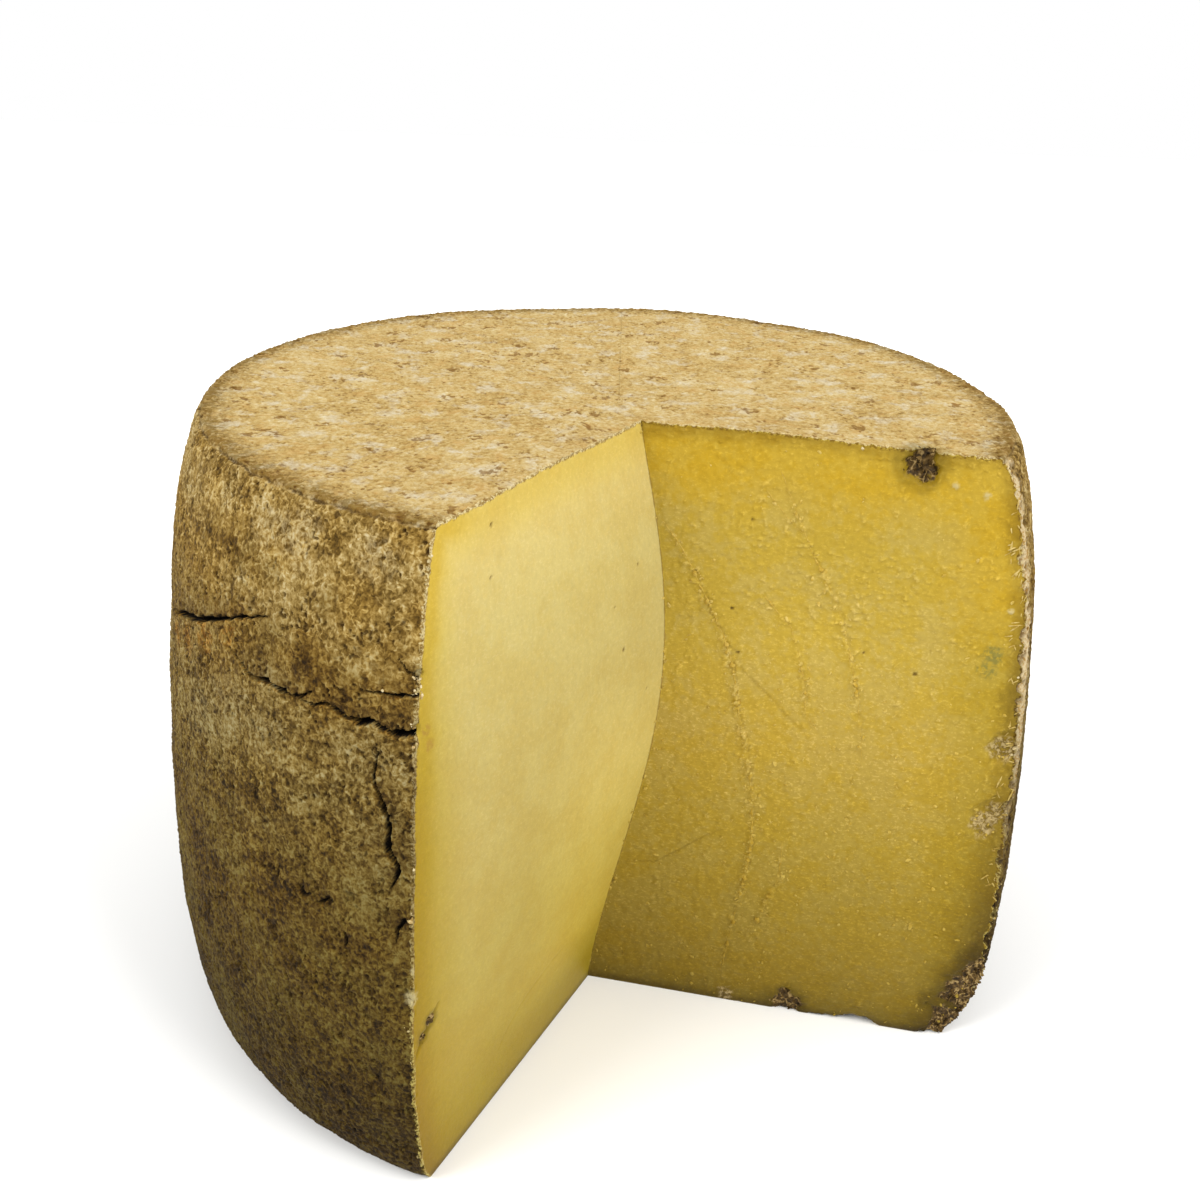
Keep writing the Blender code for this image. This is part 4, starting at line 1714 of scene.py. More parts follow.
class Shader(NodeSheet):
    """A material's node tree, with its Principled shader and the object's own coordinates."""

    SEEN_TO_OWN = 0.68

    def __init__(self, name: str) -> None:
        """Make the material.

        Args:
            name: Its name.
        """
        self.material = bpy.data.materials.new(name)
        self.material.use_nodes = True
        super().__init__(self.material.node_tree)
        self.surface = self.tree.nodes["Principled BSDF"]
        self.spot = self.node("ShaderNodeTexCoord", {}, {}, "Object")

    def read(self, name: str) -> Term:
        """A named value of the surface."""
        return self.node("ShaderNodeAttribute", {"attribute_name": name}, {}, "Fac")

    def ramp(self, value: Term, stops: Stops) -> Term:
        """A colour that changes with a value, through some stops."""
        return self.node("ShaderNodeValToRGB", {"stops": stops}, {"Fac": value})

    def dress(
        self, colour: Value, roughness: Value, height: Term, depth: float, specular: float
    ) -> Material:
        """Give the surface its colour, roughness and fine relief.

        Args:
            colour: The colour as it is seen in the studio's light.
            roughness: The roughness.
            height: The fine relief, from 0 to 1.
            depth: How deep that relief is, in metres.
            specular: How strongly it shines, from 0 to 1.

        Returns:
            The material.
        """
        self.feed(self.surface.inputs["Base Color"], colour * self.SEEN_TO_OWN)
        self.feed(self.surface.inputs["Roughness"], roughness)
        values = {"Strength": 1.0, "Distance": depth, "Height": height}
        self.feed(self.surface.inputs["Normal"], self.node("ShaderNodeBump", {}, values, "Normal"))
        self.surface.inputs["Specular IOR Level"].default_value = specular
        return self.material


@dataclass(frozen=True)
class MouldFinish:
    """Dark brown mould with tan threads and crumbs."""

    stops: Stops = (
        (0.30, srgb(34, 25, 12)), (0.42, srgb(68, 51, 25)), (0.52, srgb(104, 80, 42)),
        (0.63, srgb(142, 114, 66)), (0.76, srgb(184, 156, 102)),
    )

    def colour(self, ink: Shader) -> Term:
        """Colour the mould.

        Args:
            ink: The material that it is for.

        Returns:
            The colour.
        """
        clot = ink.noise(ink.spot, 2.4 * MM, 3.0, 65.0)
        thread = ink.curls(ink.spot, 4.2 * MM, 67.0)
        thread = thread * ink.noise(ink.spot, 3.0 * MM, 1.0, 68.0).rise(0.36, 0.56)
        return ink.ramp(clot * 0.72 + thread * 0.30 + 0.09, self.stops)

    def build(self) -> Material:
        """Make the material."""
        ink = Shader("mould")
        return ink.dress(self.colour(ink), 0.9, ink.noise(ink.spot, 0.6 * MM, 2.0, 69.0), 0.2 * MM, 0.05)


@dataclass(frozen=True)
class RindFinish:
    """The dry rind, darker and browner on the side, paler on top, and darker towards the foot, partly in its
    own colour and partly as painted shade.
    """

    side: Stops = (
        (0.18, srgb(64, 48, 12)), (0.36, srgb(115, 89, 36)), (0.50, srgb(156, 128, 68)),
        (0.64, srgb(190, 164, 104)), (0.84, srgb(217, 199, 152)),
    )
    top: Stops = (
        (0.24, srgb(126, 92, 40)), (0.38, srgb(178, 146, 82)), (0.50, srgb(199, 170, 107)),
        (0.60, srgb(210, 185, 128)), (0.74, srgb(224, 208, 164)),
    )
    # Darker towards the foot: partly the rind's own darker foot, partly painted shade
    depth: Stops = (
        (0.00, (0.17, 0.155, 0.054)), (0.12, (0.18, 0.165, 0.062)), (0.22, (0.23, 0.215, 0.088)),
        (0.32, (0.28, 0.26, 0.11)), (0.42, (0.31, 0.28, 0.12)), (0.52, (0.39, 0.37, 0.21)),
        (0.62, (0.57, 0.57, 0.45)), (0.70, (0.61, 0.60, 0.49)), (0.80, (0.65, 0.60, 0.41)),
        (0.87, (0.94, 0.93, 0.85)), (0.97, (1.0, 1.0, 0.98)),
    )
    pale_tint: Colour = (1.0, 1.0, 1.04)
    ochre_tint: Colour = (1.03, 0.96, 0.78)
    rim_tint: Colour = (0.44, 0.37, 0.21)
    # Painted shadow above the cracks
    crack_shadow_tint: Colour = (0.50, 0.45, 0.34)
    pit_tint: Colour = (0.22, 0.17, 0.10)
    top_pit_tint: Colour = (0.40, 0.27, 0.12)
    spot_tint: Colour = (0.60, 0.57, 0.52)
    lip_tint: Colour = (1.45, 1.25, 0.90)
    olive_tint: Colour = (0.60, 0.56, 0.40)
    pale_grey: Colour = srgb(196, 182, 144)
    torn_tint: Colour = (1.35, 1.02, 0.55)
    streak: Colour = srgb(216, 205, 178)
    tan: Colour = srgb(200, 158, 90)
    strip_hollow: Colour = srgb(112, 82, 36)
    strip_dark: Colour = srgb(190, 148, 78)
    strip_pale: Colour = srgb(230, 209, 164)
    crease: Colour = srgb(84, 60, 24)
    # Near black: painted shade inside the cracks
    crack: Colour = srgb(24, 17, 8)

    def side_colour(self, ink: Shader) -> Term:
        """Colour the side's rind.

        Args:
            ink: The material that it is for.

        Returns:
            The colour.
        """
        spot = ink.spot
        fleck = ink.noise(ink.warped(spot, 3.4 * MM, 3.2 * MM, 70.0), 1.9 * MM, 2.0, 73.0) - 0.5
        thread = ink.curls(spot, 4.6 * MM, 71.0) * ink.noise(spot, 5.0 * MM, 1.0, 72.5).rise(0.38, 0.56)
        zone = ink.noise(ink.warped(spot, 30.0 * MM, 16.0 * MM, 74.5), 30.0 * MM, 2.0, 75.0) - 0.5
        blotch = ink.noise(ink.warped(spot, 9.0 * MM, 6.0 * MM, 76.0), 8.0 * MM, 2.0, 77.0) - 0.5
        level = spot.part("Z")
        calm = 1.0 - level.rise(215.0 * MM, 250.0 * MM) * 0.2
        value = (fleck * 1.05 + ink.read("lift") * 0.34) * calm + thread * 0.20
        value = value + zone * 0.50 + blotch * 0.50 + 0.44
        side = ink.ramp(value, self.side)
        hue = ink.noise(spot, 24.0 * MM, 3.0, 79.0) * 0.6 + zone * 0.4 + fleck * 0.25 + 0.20
        side = ink.mix(hue.rise(0.40, 0.62), side * self.ochre_tint, side * self.pale_tint)
        dots = ink.cells(ink.warped(spot, 4.0 * MM, 2.4 * MM, 75.5), 9.0 * MM, 76.5).rise(0.31, 0.20)
        dots = dots * ink.noise(spot, 18.0 * MM, 1.0, 77.2).rise(0.46, 0.56)
        side = ink.mix(dots * 0.8, side, side * self.spot_tint)
        side = ink.mix(ink.read(Tone.OLIVE.value) * 0.65, side, side * self.olive_tint)
        side = ink.mix(ink.read(Tone.PALE.value) * (fleck * 1.3 + 0.15), side, self.pale_grey)
        rusty = ink.noise(spot, 3.0 * MM, 2.0, 78.5).rise(0.40, 0.56)
        side = ink.mix(ink.read(Tone.TORN.value) * rusty * 0.8, side, side * self.torn_tint)
        # Darker towards the foot: partly the rind's own colour, partly painted shade
        return side * ink.ramp(level / WheelForm.height, self.depth)

    def top_colour(self, ink: Shader) -> Term:
        """Colour the top's rind, browner towards its rim.

        Args:
            ink: The material that it is for.

        Returns:
            The colour.
        """
        spot = ink.spot
        fleck = ink.noise(ink.warped(spot, 3.0 * MM, 2.0 * MM, 73.5), 2.2 * MM, 3.0, 74.0) - 0.5
        tone = ink.noise(ink.warped(spot, 18.0 * MM, 14.0 * MM, 77.5), 17.0 * MM, 3.0, 78.0) - 0.5
        value = fleck * 0.75 + ink.read("lift") * 0.24 + tone * 0.45 + 0.48
        top = ink.ramp(value, self.top)
        bloom = ink.noise(ink.warped(spot, 9.0 * MM, 8.0 * MM, 79.5), 13.0 * MM, 4.0, 80.0)
        top = ink.mix(bloom.rise(0.50, 0.68) * (0.6 + fleck * 1.6), top, self.streak)
        top = ink.mix(bloom.rise(0.47, 0.32) * 0.45, top, self.tan)
        broken = ink.noise(spot, 2.8 * MM, 4.0, 84.0).rise(0.40, 0.58) * 0.8 + 0.25
        rim = ink.read("rim")
        return ink.mix((rim * broken + rim ** 6.0 * 0.35).below(1.0), top, top * self.rim_tint)

    def colour(self, ink: Shader) -> Term:
        """Colour the rind, side and top.

        Args:
            ink: The material that it is for.

        Returns:
            The colour.
        """
        spot = ink.spot
        ragged = ink.noise(spot, 7.0 * MM, 3.0, 82.0) - 0.5
        top = (ink.read("top") + ragged * 0.9).rise(0.40, 0.70)
        colour = ink.mix(top, self.side_colour(ink), self.top_colour(ink))
        torn = ink.noise(spot, 1.5 * MM, 2.0, 72.0)
        right = spot.part("X").rise(*RIGHT_SIDE) * spot.part("Z").rise(90.0 * MM, 210.0 * MM)
        strip = (ink.read("near_cut") + ragged * (14.0 * MM)).rise(13.0 * MM, 6.0 * MM) * right
        skin = ink.mix(torn.rise(0.36, 0.54), self.strip_dark, self.strip_pale)
        skin = ink.mix(ink.read("pock") * torn.rise(0.26, 0.42) * 0.95, skin, self.strip_hollow)
        colour = ink.mix(strip * (1.0 - top) * 0.9, colour, skin)
        # Painted shadow on the upper side of each crack
        colour = ink.mix(ink.read("dusk") * 0.7, colour, colour * self.crack_shadow_tint)
        colour = ink.mix(ink.read("lip") * torn.rise(0.45, 0.6), colour, colour * self.lip_tint)
        pit = ink.read("pit").rise(0.15, 0.7)
        dark = ink.mix(top, self.pit_tint, self.top_pit_tint)
        fade = spot.part("Z").rise(120.0 * MM, 210.0 * MM) * 0.26 + 0.5
        colour = ink.mix(pit * fade, colour, colour * dark)
        return ink.mix((ink.read("crease") * (torn * 2.0)).rise(0.2, 0.9) * 0.85, colour, self.crease)


@dataclass(frozen=True)
class PasteFinish:
    """The cut paste: golden under the rind, paler and curdy towards the middle."""

    left_pale: Colour = srgb(229, 207, 130)
    left_cloud: Colour = srgb(224, 199, 118)
    right_gold: Colour = srgb(205, 170, 58)
    right_cloud: Colour = srgb(204, 173, 78)
    # Painted shade: the smooth face darker and duller towards the foot
    left_foot_shade: Stops = (
        (0.00, (0.48, 0.43, 0.07)), (0.06, (0.54, 0.49, 0.10)), (0.18, (0.64, 0.59, 0.25)),
        (0.35, (0.68, 0.66, 0.42)), (0.52, (0.74, 0.73, 0.61)), (0.68, (0.79, 0.79, 0.73)),
        (0.83, (0.88, 0.90, 0.90)), (0.95, (1.0, 1.0, 1.0)),
    )
    # Painted shade: the curdy face darker and duller towards the foot
    right_foot_shade: Stops = (
        (0.00, (0.265, 0.265, 0.17)), (0.05, (0.415, 0.405, 0.24)), (0.10, (0.47, 0.46, 0.29)),
        (0.18, (0.545, 0.545, 0.38)), (0.35, (0.685, 0.695, 0.52)), (0.52, (0.84, 0.85, 0.80)),
        (0.68, (0.89, 0.93, 0.98)), (0.82, (0.87, 0.91, 0.92)),
    )
    left_wide_low: Colour = (0.86, 0.80, 0.38)
    left_wide_high: Colour = (0.98, 0.94, 0.70)
    left_near_low: Colour = (0.82, 0.75, 0.27)
    left_near_high: Colour = (0.92, 0.83, 0.40)
    right_wide: Colour = (0.86, 0.84, 0.50)
    right_wide_high: Colour = (1.06, 0.97, 0.46)
    right_near: Colour = (0.46, 0.43, 0.42)
    right_corner: Colour = (0.56, 0.52, 0.12)
    granule: Colour = (1.34, 1.36, 1.90)
    gap: Colour = (0.80, 0.76, 0.62)
    hole: Colour = srgb(104, 76, 26)
    # Painted shade along the foot of the cut faces, where they meet the floor
    foot_shade_tint: Colour = (0.50, 0.47, 0.50)

    def colour(self, ink: Shader) -> Term:
        """Colour the paste of both cut faces, with its grains, wire marks and holes.

        Args:
            ink: The material that it is for.

        Returns:
            The colour.
        """
        spot = ink.spot
        level = spot.part("Z")
        cloud = ink.noise(spot, 22.0 * MM, 3.0, 81.0)
        mottle = ink.noise(spot, 3.6 * MM, 2.0, 83.0)
        inward = ink.read("from_rind") + (cloud - 0.5) * (12.0 * MM) + (mottle - 0.5) * (3.0 * MM)
        right_face = ink.read("right_face")
        left, right = (face(ink, cloud, mottle, inward) for face in (self.left, self.right))
        colour = ink.mix(right_face, left, right)
        dash = ink.noise(spot * (1.0, 1.0, 1.7), 1.7 * MM, 2.0, 85.0)
        texture = right_face * (level.rise(250.0 * MM, 120.0 * MM) * 0.5 + 0.25) + 0.25
        fine = ink.noise(spot * (1.0, 1.0, 0.7), 2.0 * MM, 1.0, 86.0)
        colour = colour * (1.0 + (mottle - 0.5) * 0.16 + (fine - 0.5) * 0.18)
        colour = ink.mix(dash.rise(0.56, 0.64) * texture * 0.8, colour, colour * self.granule)
        colour = ink.mix(dash.rise(0.42, 0.28) * texture * 0.5, colour, colour * self.gap)
        colour = ink.mix(ink.read("grain").rise(0.15, 0.8) * 0.7, colour, colour * self.granule)
        # Painted shade: the wire grooves are darkened, and those just beside the ridges stand in for the
        # ridges' shadowed side; on the left face's slit it is partly the slit's own dark colour
        colour = ink.mix(ink.read("groove") * 0.65, colour, colour * (0.62, 0.58, 0.5))
        # Painted shade: the crease where the two cut faces meet is darkened
        seam = (ink.read("seam") + (mottle - 0.5) * 0.5).rise(0.80, 0.98)
        colour = ink.mix(seam * 0.7, colour, colour * (0.55, 0.48, 0.4))
        # Painted shade: a dark band along the foot of the cut faces
        foot = (level + (mottle - 0.5) * (3.0 * MM)).rise(6.0 * MM, 0.5 * MM)
        colour = ink.mix(foot * 0.8, colour, colour * self.foot_shade_tint)
        return ink.mix(ink.read("hole"), colour, self.hole)

    def left(self, ink: Shader, cloud: Term, mottle: Term, inward: Term) -> Term:
        """Colour the smooth pale face, with a golden band that widens towards the foot.

        Args:
            ink: The material that it is for.
            cloud: Broad noise.
            mottle: Finer noise.
            inward: How far in from the rind, unevenly.

        Returns:
            The colour.
        """
        level = ink.spot.part("Z")
        high = level.rise(150.0 * MM, 290.0 * MM)
        low_reach = 1.0 - high
        colour = ink.mix((cloud + (mottle - 0.5) * 0.4).rise(0.35, 0.65), self.left_pale, self.left_cloud)
        wide = inward.rise(24.0 * MM + low_reach * (16.0 * MM), 8.0 * MM)
        near = inward.rise(12.0 * MM + low_reach * (5.0 * MM), 3.0 * MM)
        along_top = level.rise(282.0 * MM, 292.0 * MM) * ink.spot.part("Y").rise(-172.0 * MM, -150.0 * MM)
        near = near * (1.0 - along_top * 0.65)
        colour = ink.mix(wide, colour, colour * ink.mix(high, self.left_wide_low, self.left_wide_high))
        colour = ink.mix(near, colour, colour * ink.mix(high, self.left_near_low, self.left_near_high))
        # Painted light: the face brighter towards the apex line at low and middle heights
        apex_painted_light = ink.read("from_rind").rise(60.0 * MM, 145.0 * MM) * level.rise(15.0 * MM, 50.0 * MM)
        colour = colour * (apex_painted_light * level.rise(230.0 * MM, 130.0 * MM) * 0.29 + 1.0)
        # Painted shade: darker and duller towards the foot
        return colour * ink.ramp(level / WheelForm.height, self.left_foot_shade)

    def right(self, ink: Shader, cloud: Term, mottle: Term, inward: Term) -> Term:
        """Colour the curdy golden face, with a dull border that widens towards the foot.

        Args:
            ink: The material that it is for.
            cloud: Broad noise.
            mottle: Finer noise.
            inward: How far in from the rind, unevenly.

        Returns:
            The colour.
        """
        level = ink.spot.part("Z")
        reach = 25.0 * MM - level.rise(50.0 * MM, 240.0 * MM) * (15.0 * MM)
        colour = ink.mix((cloud + (mottle - 0.5) * 0.6).rise(0.38, 0.62), self.right_gold, self.right_cloud)
        high = level.rise(190.0 * MM, 250.0 * MM)
        wide = ink.mix(high, self.right_wide, self.right_wide_high)
        colour = ink.mix(inward.rise(46.0 * MM, 14.0 * MM), colour, colour * wide)
        eased = level.rise(55.0 * MM, 105.0 * MM) * level.rise(205.0 * MM, 165.0 * MM) * 0.30 + high * 0.28
        colour = ink.mix(inward.rise(reach, 0.0) * (1.0 - eased), colour, colour * self.right_near)
        corner = inward.rise(13.0 * MM, 2.0 * MM) * level.rise(110.0 * MM, 70.0 * MM) * 0.5
        colour = ink.mix(corner, colour, colour * self.right_corner)
        # Painted light: the face slightly brighter towards the apex line below the top
        apex_painted_light = ink.read("from_rind").rise(50.0 * MM, 120.0 * MM)
        colour = colour * (apex_painted_light * level.rise(265.0 * MM, 200.0 * MM) * 0.10 + 1.0)
        # Painted shade: darker and duller towards the foot
        return colour * ink.ramp(level / WheelForm.height, self.right_foot_shade)


@dataclass(frozen=True)
class CheeseFinish:
    """The wheel's surface: rind, paste on the cut faces, crumbly crust between, mould in the hollows."""

    rind: RindFinish = RindFinish()
    paste: PasteFinish = PasteFinish()
    mould: MouldFinish = MouldFinish()
    crust_dark: Colour = srgb(162, 132, 70)
    crust_pale: Colour = srgb(238, 220, 166)
    crust_dull: Colour = (0.62, 0.53, 0.13)
    crust_depth: Stops = (
        (0.0, (0.85, 0.85, 0.50)), (0.2, (0.78, 0.76, 0.38)), (0.33, (0.66, 0.63, 0.38)),
        (0.5, (0.49, 0.46, 0.35)), (0.68, (0.44, 0.41, 0.34)), (0.8, (0.80, 0.78, 0.66)),
        (0.92, (1.0, 1.0, 1.0)),
    )
    stain_tint: Colour = (0.42, 0.42, 0.30)
    chalk_dark: Colour = srgb(98, 75, 34)
    chalk_pale: Colour = srgb(208, 184, 130)
    blue: Colour = srgb(104, 112, 62)
    cream: Colour = srgb(216, 202, 152)
    ochre: Colour = srgb(176, 138, 58)

    def build(self) -> Material:
        """Make the material.

        Returns:
            The material.
        """
        ink = Shader("cheese")
        spot = ink.spot
        from_rind = ink.read("from_rind")
        crumb = ink.noise(spot, 1.2 * MM, 3.0, 63.0)
        crust = ink.mix(crumb.rise(0.44, 0.60), self.crust_dark, self.crust_pale)
        crust = crust * ink.ramp(spot.part("Z") / WheelForm.height, self.crust_depth)
        crust = ink.mix(ink.read("right_face"), crust, crust * self.crust_dull)
        is_rind = from_rind.rise(0.06 * MM, 0.01 * MM)
        on_face = (from_rind + (crumb - 0.5) * (3.4 * MM)).rise(1.6 * MM, 0.6 * MM)
        colour = ink.mix(on_face, self.paste.colour(ink), crust)
        crumbled = (ink.read("edge") + (crumb - 0.5) * 1.4).rise(0.80, 1.0)
        rind = ink.mix(crumbled * 0.7, self.rind.colour(ink), crust)
        colour = ink.mix(is_rind, colour, rind)
        flaky = ink.noise(ink.warped(spot, 3.0 * MM, 2.0 * MM, 64.0), 2.2 * MM, 3.0, 64.5)
        chalk = ink.mix(flaky.rise(0.42, 0.60), self.chalk_dark, self.chalk_pale)
        for bloom, low, high, share, paint in (
            (Bloom.CHALK, 0.30, 0.50, 0.75, chalk), (Bloom.BLUE, 0.30, 0.60, 0.60, self.blue),
            (Bloom.OCHRE, 0.34, 0.54, 0.70, self.ochre), (Bloom.CREAM, 0.30, 0.50, 0.60, self.cream),
        ):
            colour = ink.mix(ink.read(bloom.value) * flaky.rise(low, high) * share, colour, paint)
        colour = ink.mix(ink.read("stain") * 0.7, colour, colour * self.stain_tint)
        mouldy = (ink.read("mould") + (crumb - 0.5) * 0.9 + (flaky - 0.5) * 1.2).rise(0.25, 0.85)
        colour = ink.mix(mouldy, colour, self.mould.colour(ink))
        # Painted shade: the insides of the cracks are near black
        colour = ink.mix(ink.read("crack"), colour, self.rind.crack)
        fine = ink.noise(spot, 0.8 * MM, 2.0, 71.5)
        roughness = fine * 0.25 + is_rind * 0.35 + 0.38
        return ink.dress(colour, roughness, fine * (is_rind * 0.7 + 0.3), 0.35 * MM, 0.12)


# Painted shade: how the paste's loose bits darken towards the foot
CURD_FOOT_SHADE: Stops = ((0.0, (0.56, 0.54, 0.36)), (0.35, (0.90, 0.88, 0.68)), (0.7, (1.0, 1.0, 1.0)))


@dataclass(frozen=True)
class LooseFinish:
    """The finish of one kind of loose bit: two colours that it varies between."""

    name: str
    first: Colour
    second: Colour
    # Painted shade: the bits darken towards the foot
    depth: Stops = ((0.0, (0.42, 0.40, 0.28)), (0.35, (0.76, 0.74, 0.58)), (0.7, (1.0, 1.0, 1.0)))

    def build(self) -> Material:
        """Make the material.

        Returns:
            The material.
        """
        ink = Shader(self.name)
        tone = ink.noise(ink.spot, 2.0 * MM, 1.0, 91.0)
        colour = ink.mix(tone.rise(0.35, 0.65), self.first, self.second)
        # Painted shade towards the foot
        colour = colour * ink.ramp(ink.spot.part("Z") / WheelForm.height, self.depth)
        fine = ink.noise(ink.spot, 0.5 * MM, 1.0, 93.0)
        return ink.dress(colour, 0.8, fine, 0.1 * MM, 0.1)


@dataclass(frozen=True)
class Scatter:
    """One kind of small bit that lies on the wheel, at its true size.

    Its weight is the mask that says where it lies. Its sides are the least and the most of its
    length, width and height as shares of its size, and its spin is how far it turns about the
    surface's own directions.
    """

    name: str
    weight: str
    finish: Union[LooseFinish, MouldFinish]
    per_area: float
    smallest: float
    largest: float
    sides: tuple[Triple, Triple]
    spin: Triple
    seed: int
    slot: str

    def build(self, ground: Sequence[Object]) -> Object:
        """Scatter the bits on some sectors and join them as one mesh.

        Args:
            ground: The weathered sectors that they lie on.

        Returns:
            The piece.
        """
        tree = GeometryTree(self.name, {
            "Density": self.per_area, "Smallest": self.smallest, "Largest": self.largest,
            "Seed": self.seed, "Material": self.finish.build(),
            **{f"Ground {number}": item for number, item in enumerate(ground)},
        })
        join = tree.tree.nodes.new("GeometryNodeJoinGeometry")
        for number in range(len(ground)):
            tree.feed(join.inputs[0], tree.shape_of(f"Ground {number}"))
        density = tree.input("Density") * tree.read(self.weight)
        spread = tree.node(
            "GeometryNodeDistributePointsOnFaces", {"distribute_method": "RANDOM"},
            {"Mesh": Term(tree, join.outputs[0]), "Density": density, "Seed": tree.input("Seed")},
        )
        ball = tree.node("GeometryNodeMeshIcoSphere", {}, {"Radius": 0.55, "Subdivisions": 1})
        sides = self.random(tree, "FLOAT_VECTOR", *self.sides, 1)
        size = self.random(tree, "FLOAT", 0.0, 1.0, 2)
        span = tree.input("Smallest") + (tree.input("Largest") - tree.input("Smallest")) * size ** 2.2
        turn = self.random(tree, "FLOAT_VECTOR", (0.0, 0.0, 0.0), self.spin, 3)
        turned = tree.node(
            "FunctionNodeRotateRotation", {"rotation_space": "LOCAL"},
            {"Rotation": spread.beside("Rotation"), "Rotate By": turn},
        )
        bits = tree.node(
            "GeometryNodeInstanceOnPoints", {},
            {"Points": spread, "Instance": ball, "Rotation": turned, "Scale": sides * span},
        )
        real = tree.node("GeometryNodeRealizeInstances", {}, {"Geometry": bits})
        shaped = tree.moved(real, tree.warped(tree.place(), 0.9 * MM, 0.7 * MM, 5.0))
        tree.finish(shaped, tree.input("Material"))
        return tree.grow()

    @staticmethod
    def random(tree: GeometryTree, kind: str, least: Value, most: Value, offset: int) -> Term:
        """A value for each bit between two others."""
        values = {"Min": least, "Max": most, "Seed": tree.input("Seed") + float(offset)}
        return tree.node("FunctionNodeRandomValue", {"data_type": kind}, values)


SCATTERS = (
    Scatter(
        "edge_crumbs", "crumb", LooseFinish("edge_crumb", srgb(196, 162, 98), srgb(236, 220, 176)),
        40000.0, 0.6 * MM, 2.2 * MM, ((0.6, 0.6, 0.4), (1.4, 1.1, 0.9)), (6.3, 6.3, 6.3), 11, "paste",
    ),
    Scatter(
        "curd_grains", "curd",
        LooseFinish("curd_grain", srgb(198, 166, 68), srgb(222, 194, 106), CURD_FOOT_SHADE),
        60000.0, 0.7 * MM, 2.3 * MM, ((0.8, 0.5, 0.30), (1.7, 1.0, 0.5)), (0.6, 0.6, 6.3), 23, "paste",
    ),
    Scatter(
        "rind_flakes", "flake", LooseFinish("rind_flake", srgb(192, 160, 80), srgb(220, 194, 120)),
        120000.0, 0.9 * MM, 1.6 * MM, ((2.2, 0.34, 0.25), (5.2, 0.62, 0.40)), (0.4, 0.4, 2.2), 29, "paste",
    ),
    Scatter(
        "mould_clots", "clot", MouldFinish(),
        400000.0, 0.5 * MM, 2.0 * MM, ((0.8, 0.5, 0.4), (2.4, 1.0, 0.8)), (6.3, 6.3, 6.3), 37, "mould",
    ),
)


@dataclass(frozen=True)
class Beading:
    """The broken rows of curd that the cutting wire pushed up along its marks."""

    name: str = "wire_beads"
    finish: LooseFinish = LooseFinish("wire_bead", srgb(194, 160, 60), srgb(213, 181, 86), CURD_FOOT_SHADE)
    slot: str = "paste"

    def build(self, lines: Object, ground: Object) -> Object:
        """Lay a lumpy, broken cord along every mark, on the weathered surface.

        Args:
            lines: The marks, as lines with a strength at each point.
            ground: The weathered sector that they lie on.

        Returns:
            The piece.
        """
        tree = GeometryTree(self.name, {
            "Lines": lines, "Ground": ground, "Material": self.finish.build(),
            "Thickness": 1.5 * MM, "Bead Size": 2.6 * MM, "Break Size": 8.0 * MM, "Step": 0.4 * MM,
        })
        curve = tree.node("GeometryNodeMeshToCurve", {}, {"Mesh": tree.shape_of("Lines")})
        fine = tree.node(
            "GeometryNodeResampleCurve", {"mode": "LENGTH"}, {"Curve": curve, "Length": tree.input("Step")}
        )
        wander = tree.warped(tree.place(), 3.0 * MM, 0.7 * MM, 3.0)
        foot = tree.node(
            "GeometryNodeProximity", {"target_element": "FACES"},
            {"Geometry": tree.shape_of("Ground"), "Sample Position": wander}, "Position",
        )
        laid = tree.moved(fine, foot)
        bead = tree.noise(tree.place(), tree.input("Bead Size"), 1.0, 7.0).rise(0.44, 0.68)
        whole = tree.noise(tree.place(), tree.input("Break Size"), 1.0, 17.0).rise(0.46, 0.60)
        strength = tree.read(LineSet.STRENGTH)
        thickness = (whole * (bead + 0.10) * strength + 0.08) * tree.input("Thickness")
        ring = tree.node("GeometryNodeCurvePrimitiveCircle", {}, {"Resolution": 8, "Radius": 1.0})
        cord = tree.node(
            "GeometryNodeCurveToMesh", {},
            {"Curve": laid, "Profile Curve": ring, "Scale": thickness, "Fill Caps": True},
        )
        shaped = tree.moved(cord, tree.warped(tree.place(), 0.8 * MM, 0.5 * MM, 5.0))
        tree.finish(shaped, tree.input("Material"))
        return tree.grow()


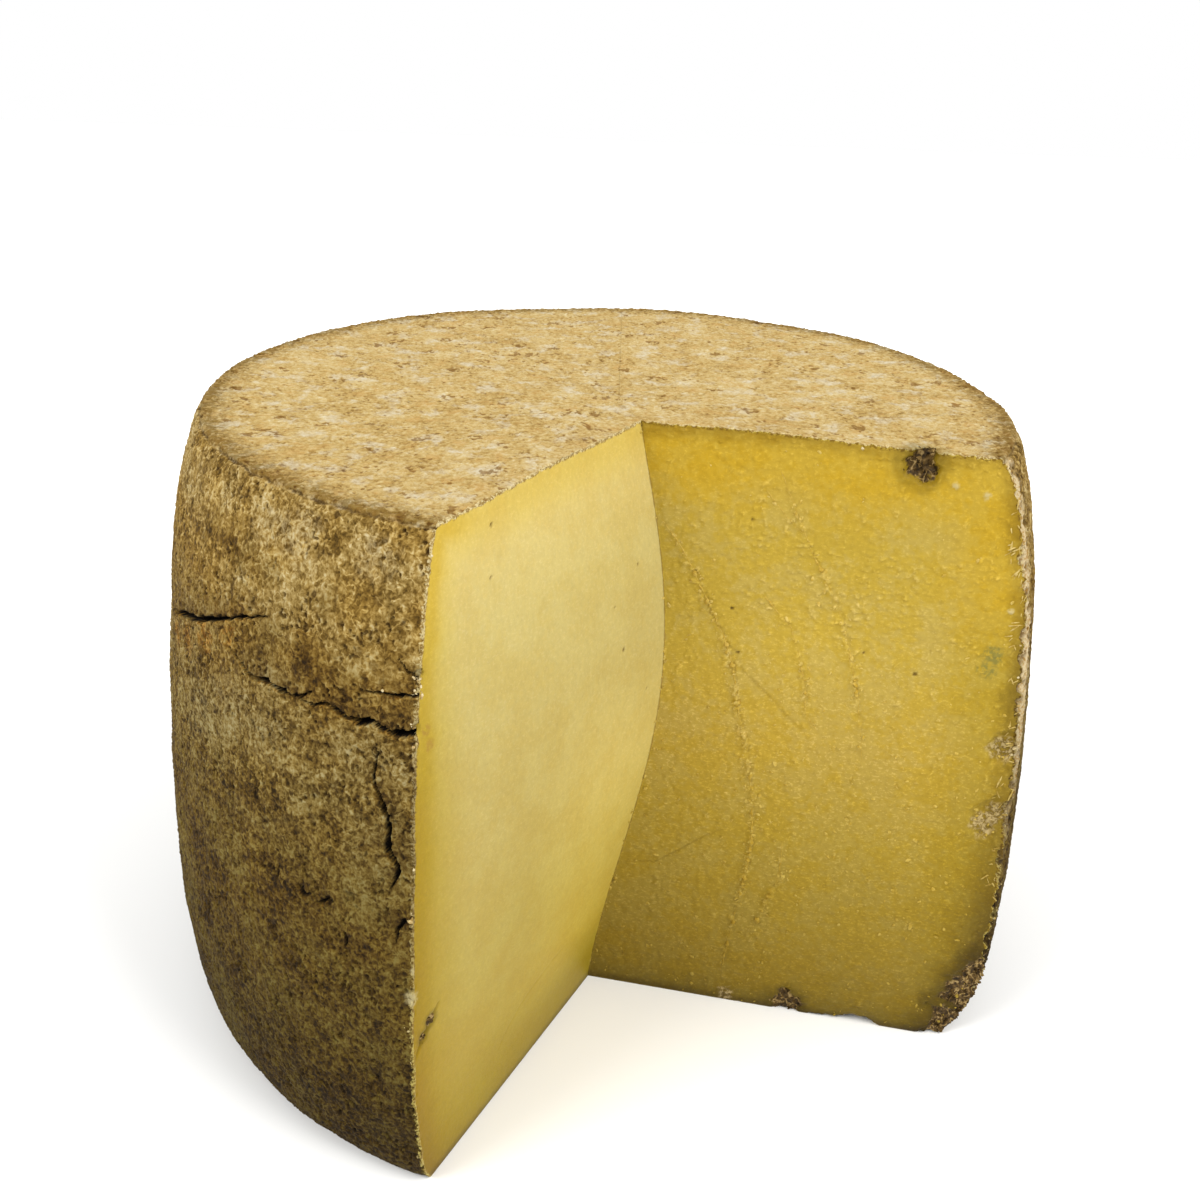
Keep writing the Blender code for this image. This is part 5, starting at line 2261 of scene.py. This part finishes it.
class Studio:
    """The plain pale floor, the soft lights and the camera."""

    CAMERA_PLACE = (0.0, -0.62745, 0.47619)
    CAMERA_RIGHT = (0.99940, 0.014918, 0.031265)
    CAMERA_UP = (-0.034635, 0.412168, 0.910449)
    LENS = 41.157
    SENSOR = 36.0
    AIM = (0.0, 0.0, 0.12)
    FLOOR_HALF = 4.0

    def build(self) -> None:
        """Set everything up."""
        self.floor()
        self.light("key", (1.30, -0.80, 1.80), 26.0, 1.85, (1.0, 0.99, 0.97))
        self.light("fill", (-1.40, -0.90, 1.60), 28.0, 1.75, (1.0, 1.0, 0.99))
        self.sky()
        self.camera()
        bpy.context.scene.view_settings.view_transform = "Standard"

    def floor(self) -> None:
        """Lay the floor just under the wheel."""
        ink = Shader("floor")
        ink.surface.inputs["Base Color"].default_value = (0.86, 0.86, 0.85, 1.0)
        ink.surface.inputs["Roughness"].default_value = 0.9
        mesh = bpy.data.meshes.new("floor")
        half = self.FLOOR_HALF
        corners = [(-half, -half, 0.0), (half, -half, 0.0), (half, half, 0.0), (-half, half, 0.0)]
        mesh.from_pydata(corners, [], [(0, 1, 2, 3)])
        mesh.materials.append(ink.material)
        linked("floor", mesh)

    @staticmethod
    def light(name: str, place: Sequence[float], spread: float, power: float, colour: Colour) -> None:
        """Shine a wide soft light on the wheel.

        Args:
            name: Its name.
            place: Where it shines from.
            spread: How wide it looks from the wheel, in degrees.
            power: How strong it is.
            colour: Its colour.
        """
        lamp = bpy.data.lights.new(name, "SUN")
        lamp.angle = math.radians(spread)
        lamp.energy = power
        lamp.color = colour
        item = bpy.data.objects.new(name, lamp)
        item.location = place
        way = Vector(Studio.AIM) - Vector(place)
        item.rotation_euler = way.to_track_quat("-Z", "Y").to_euler()
        bpy.context.scene.collection.objects.link(item)

    @staticmethod
    def sky() -> None:
        """Fill the room with even pale light."""
        world = bpy.data.worlds.new("room")
        world.use_nodes = True
        glow = world.node_tree.nodes["Background"]
        glow.inputs["Color"].default_value = (1.0, 1.0, 1.0, 1.0)
        glow.inputs["Strength"].default_value = 1.0
        bpy.context.scene.world = world

    def camera(self) -> None:
        """Set the camera where the photograph was taken from."""
        lens = bpy.data.cameras.new("camera")
        lens.lens = self.LENS
        lens.sensor_width = self.SENSOR
        lens.clip_start = 0.01
        item = bpy.data.objects.new("camera", lens)
        right = Vector(self.CAMERA_RIGHT)
        up = Vector(self.CAMERA_UP)
        back = right.cross(up)
        turn = Matrix((right, up, back)).transposed().to_4x4()
        item.matrix_world = Matrix.Translation(self.CAMERA_PLACE) @ turn
        bpy.context.scene.collection.objects.link(item)
        bpy.context.scene.camera = item


def hand_over(piece: Object, slot: str) -> None:
    """Attach a finished piece to the wheel's body, hide the solid, and log its triangles.

    Args:
        piece: The finished piece.
        slot: The record's material slot for the piece; not used.
    """
    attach(piece, BODY)
    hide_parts(SOLID)
    piece.data.calc_loop_triangles()
    log.info("%s: %d triangles", piece.name, len(piece.data.loop_triangles))


def main() -> None:
    """Build the wheel and its studio."""
    logging.basicConfig(level=logging.INFO, format="%(message)s")
    form = WheelForm()
    body = WheelBody(form)
    weathering = Weathering(form, CheeseFinish().build())
    cut_slices: dict[Cut, Object] = {}
    for part in SLICES:
        piece = weathering.apply(body.build(part))
        if part.cut is not None:
            cut_slices[part.cut] = piece
        hand_over(piece, "rind" if part.cut is None else "paste")
    beading = Beading()
    hand_over(beading.build(weathering.helpers["Ridges"], cut_slices[Cut.RIGHT]), beading.slot)
    weathering.clear()
    for scatter in SCATTERS:
        hand_over(scatter.build(list(cut_slices.values())), scatter.slot)
    Studio().build()


if __name__ == "__main__":
    main()
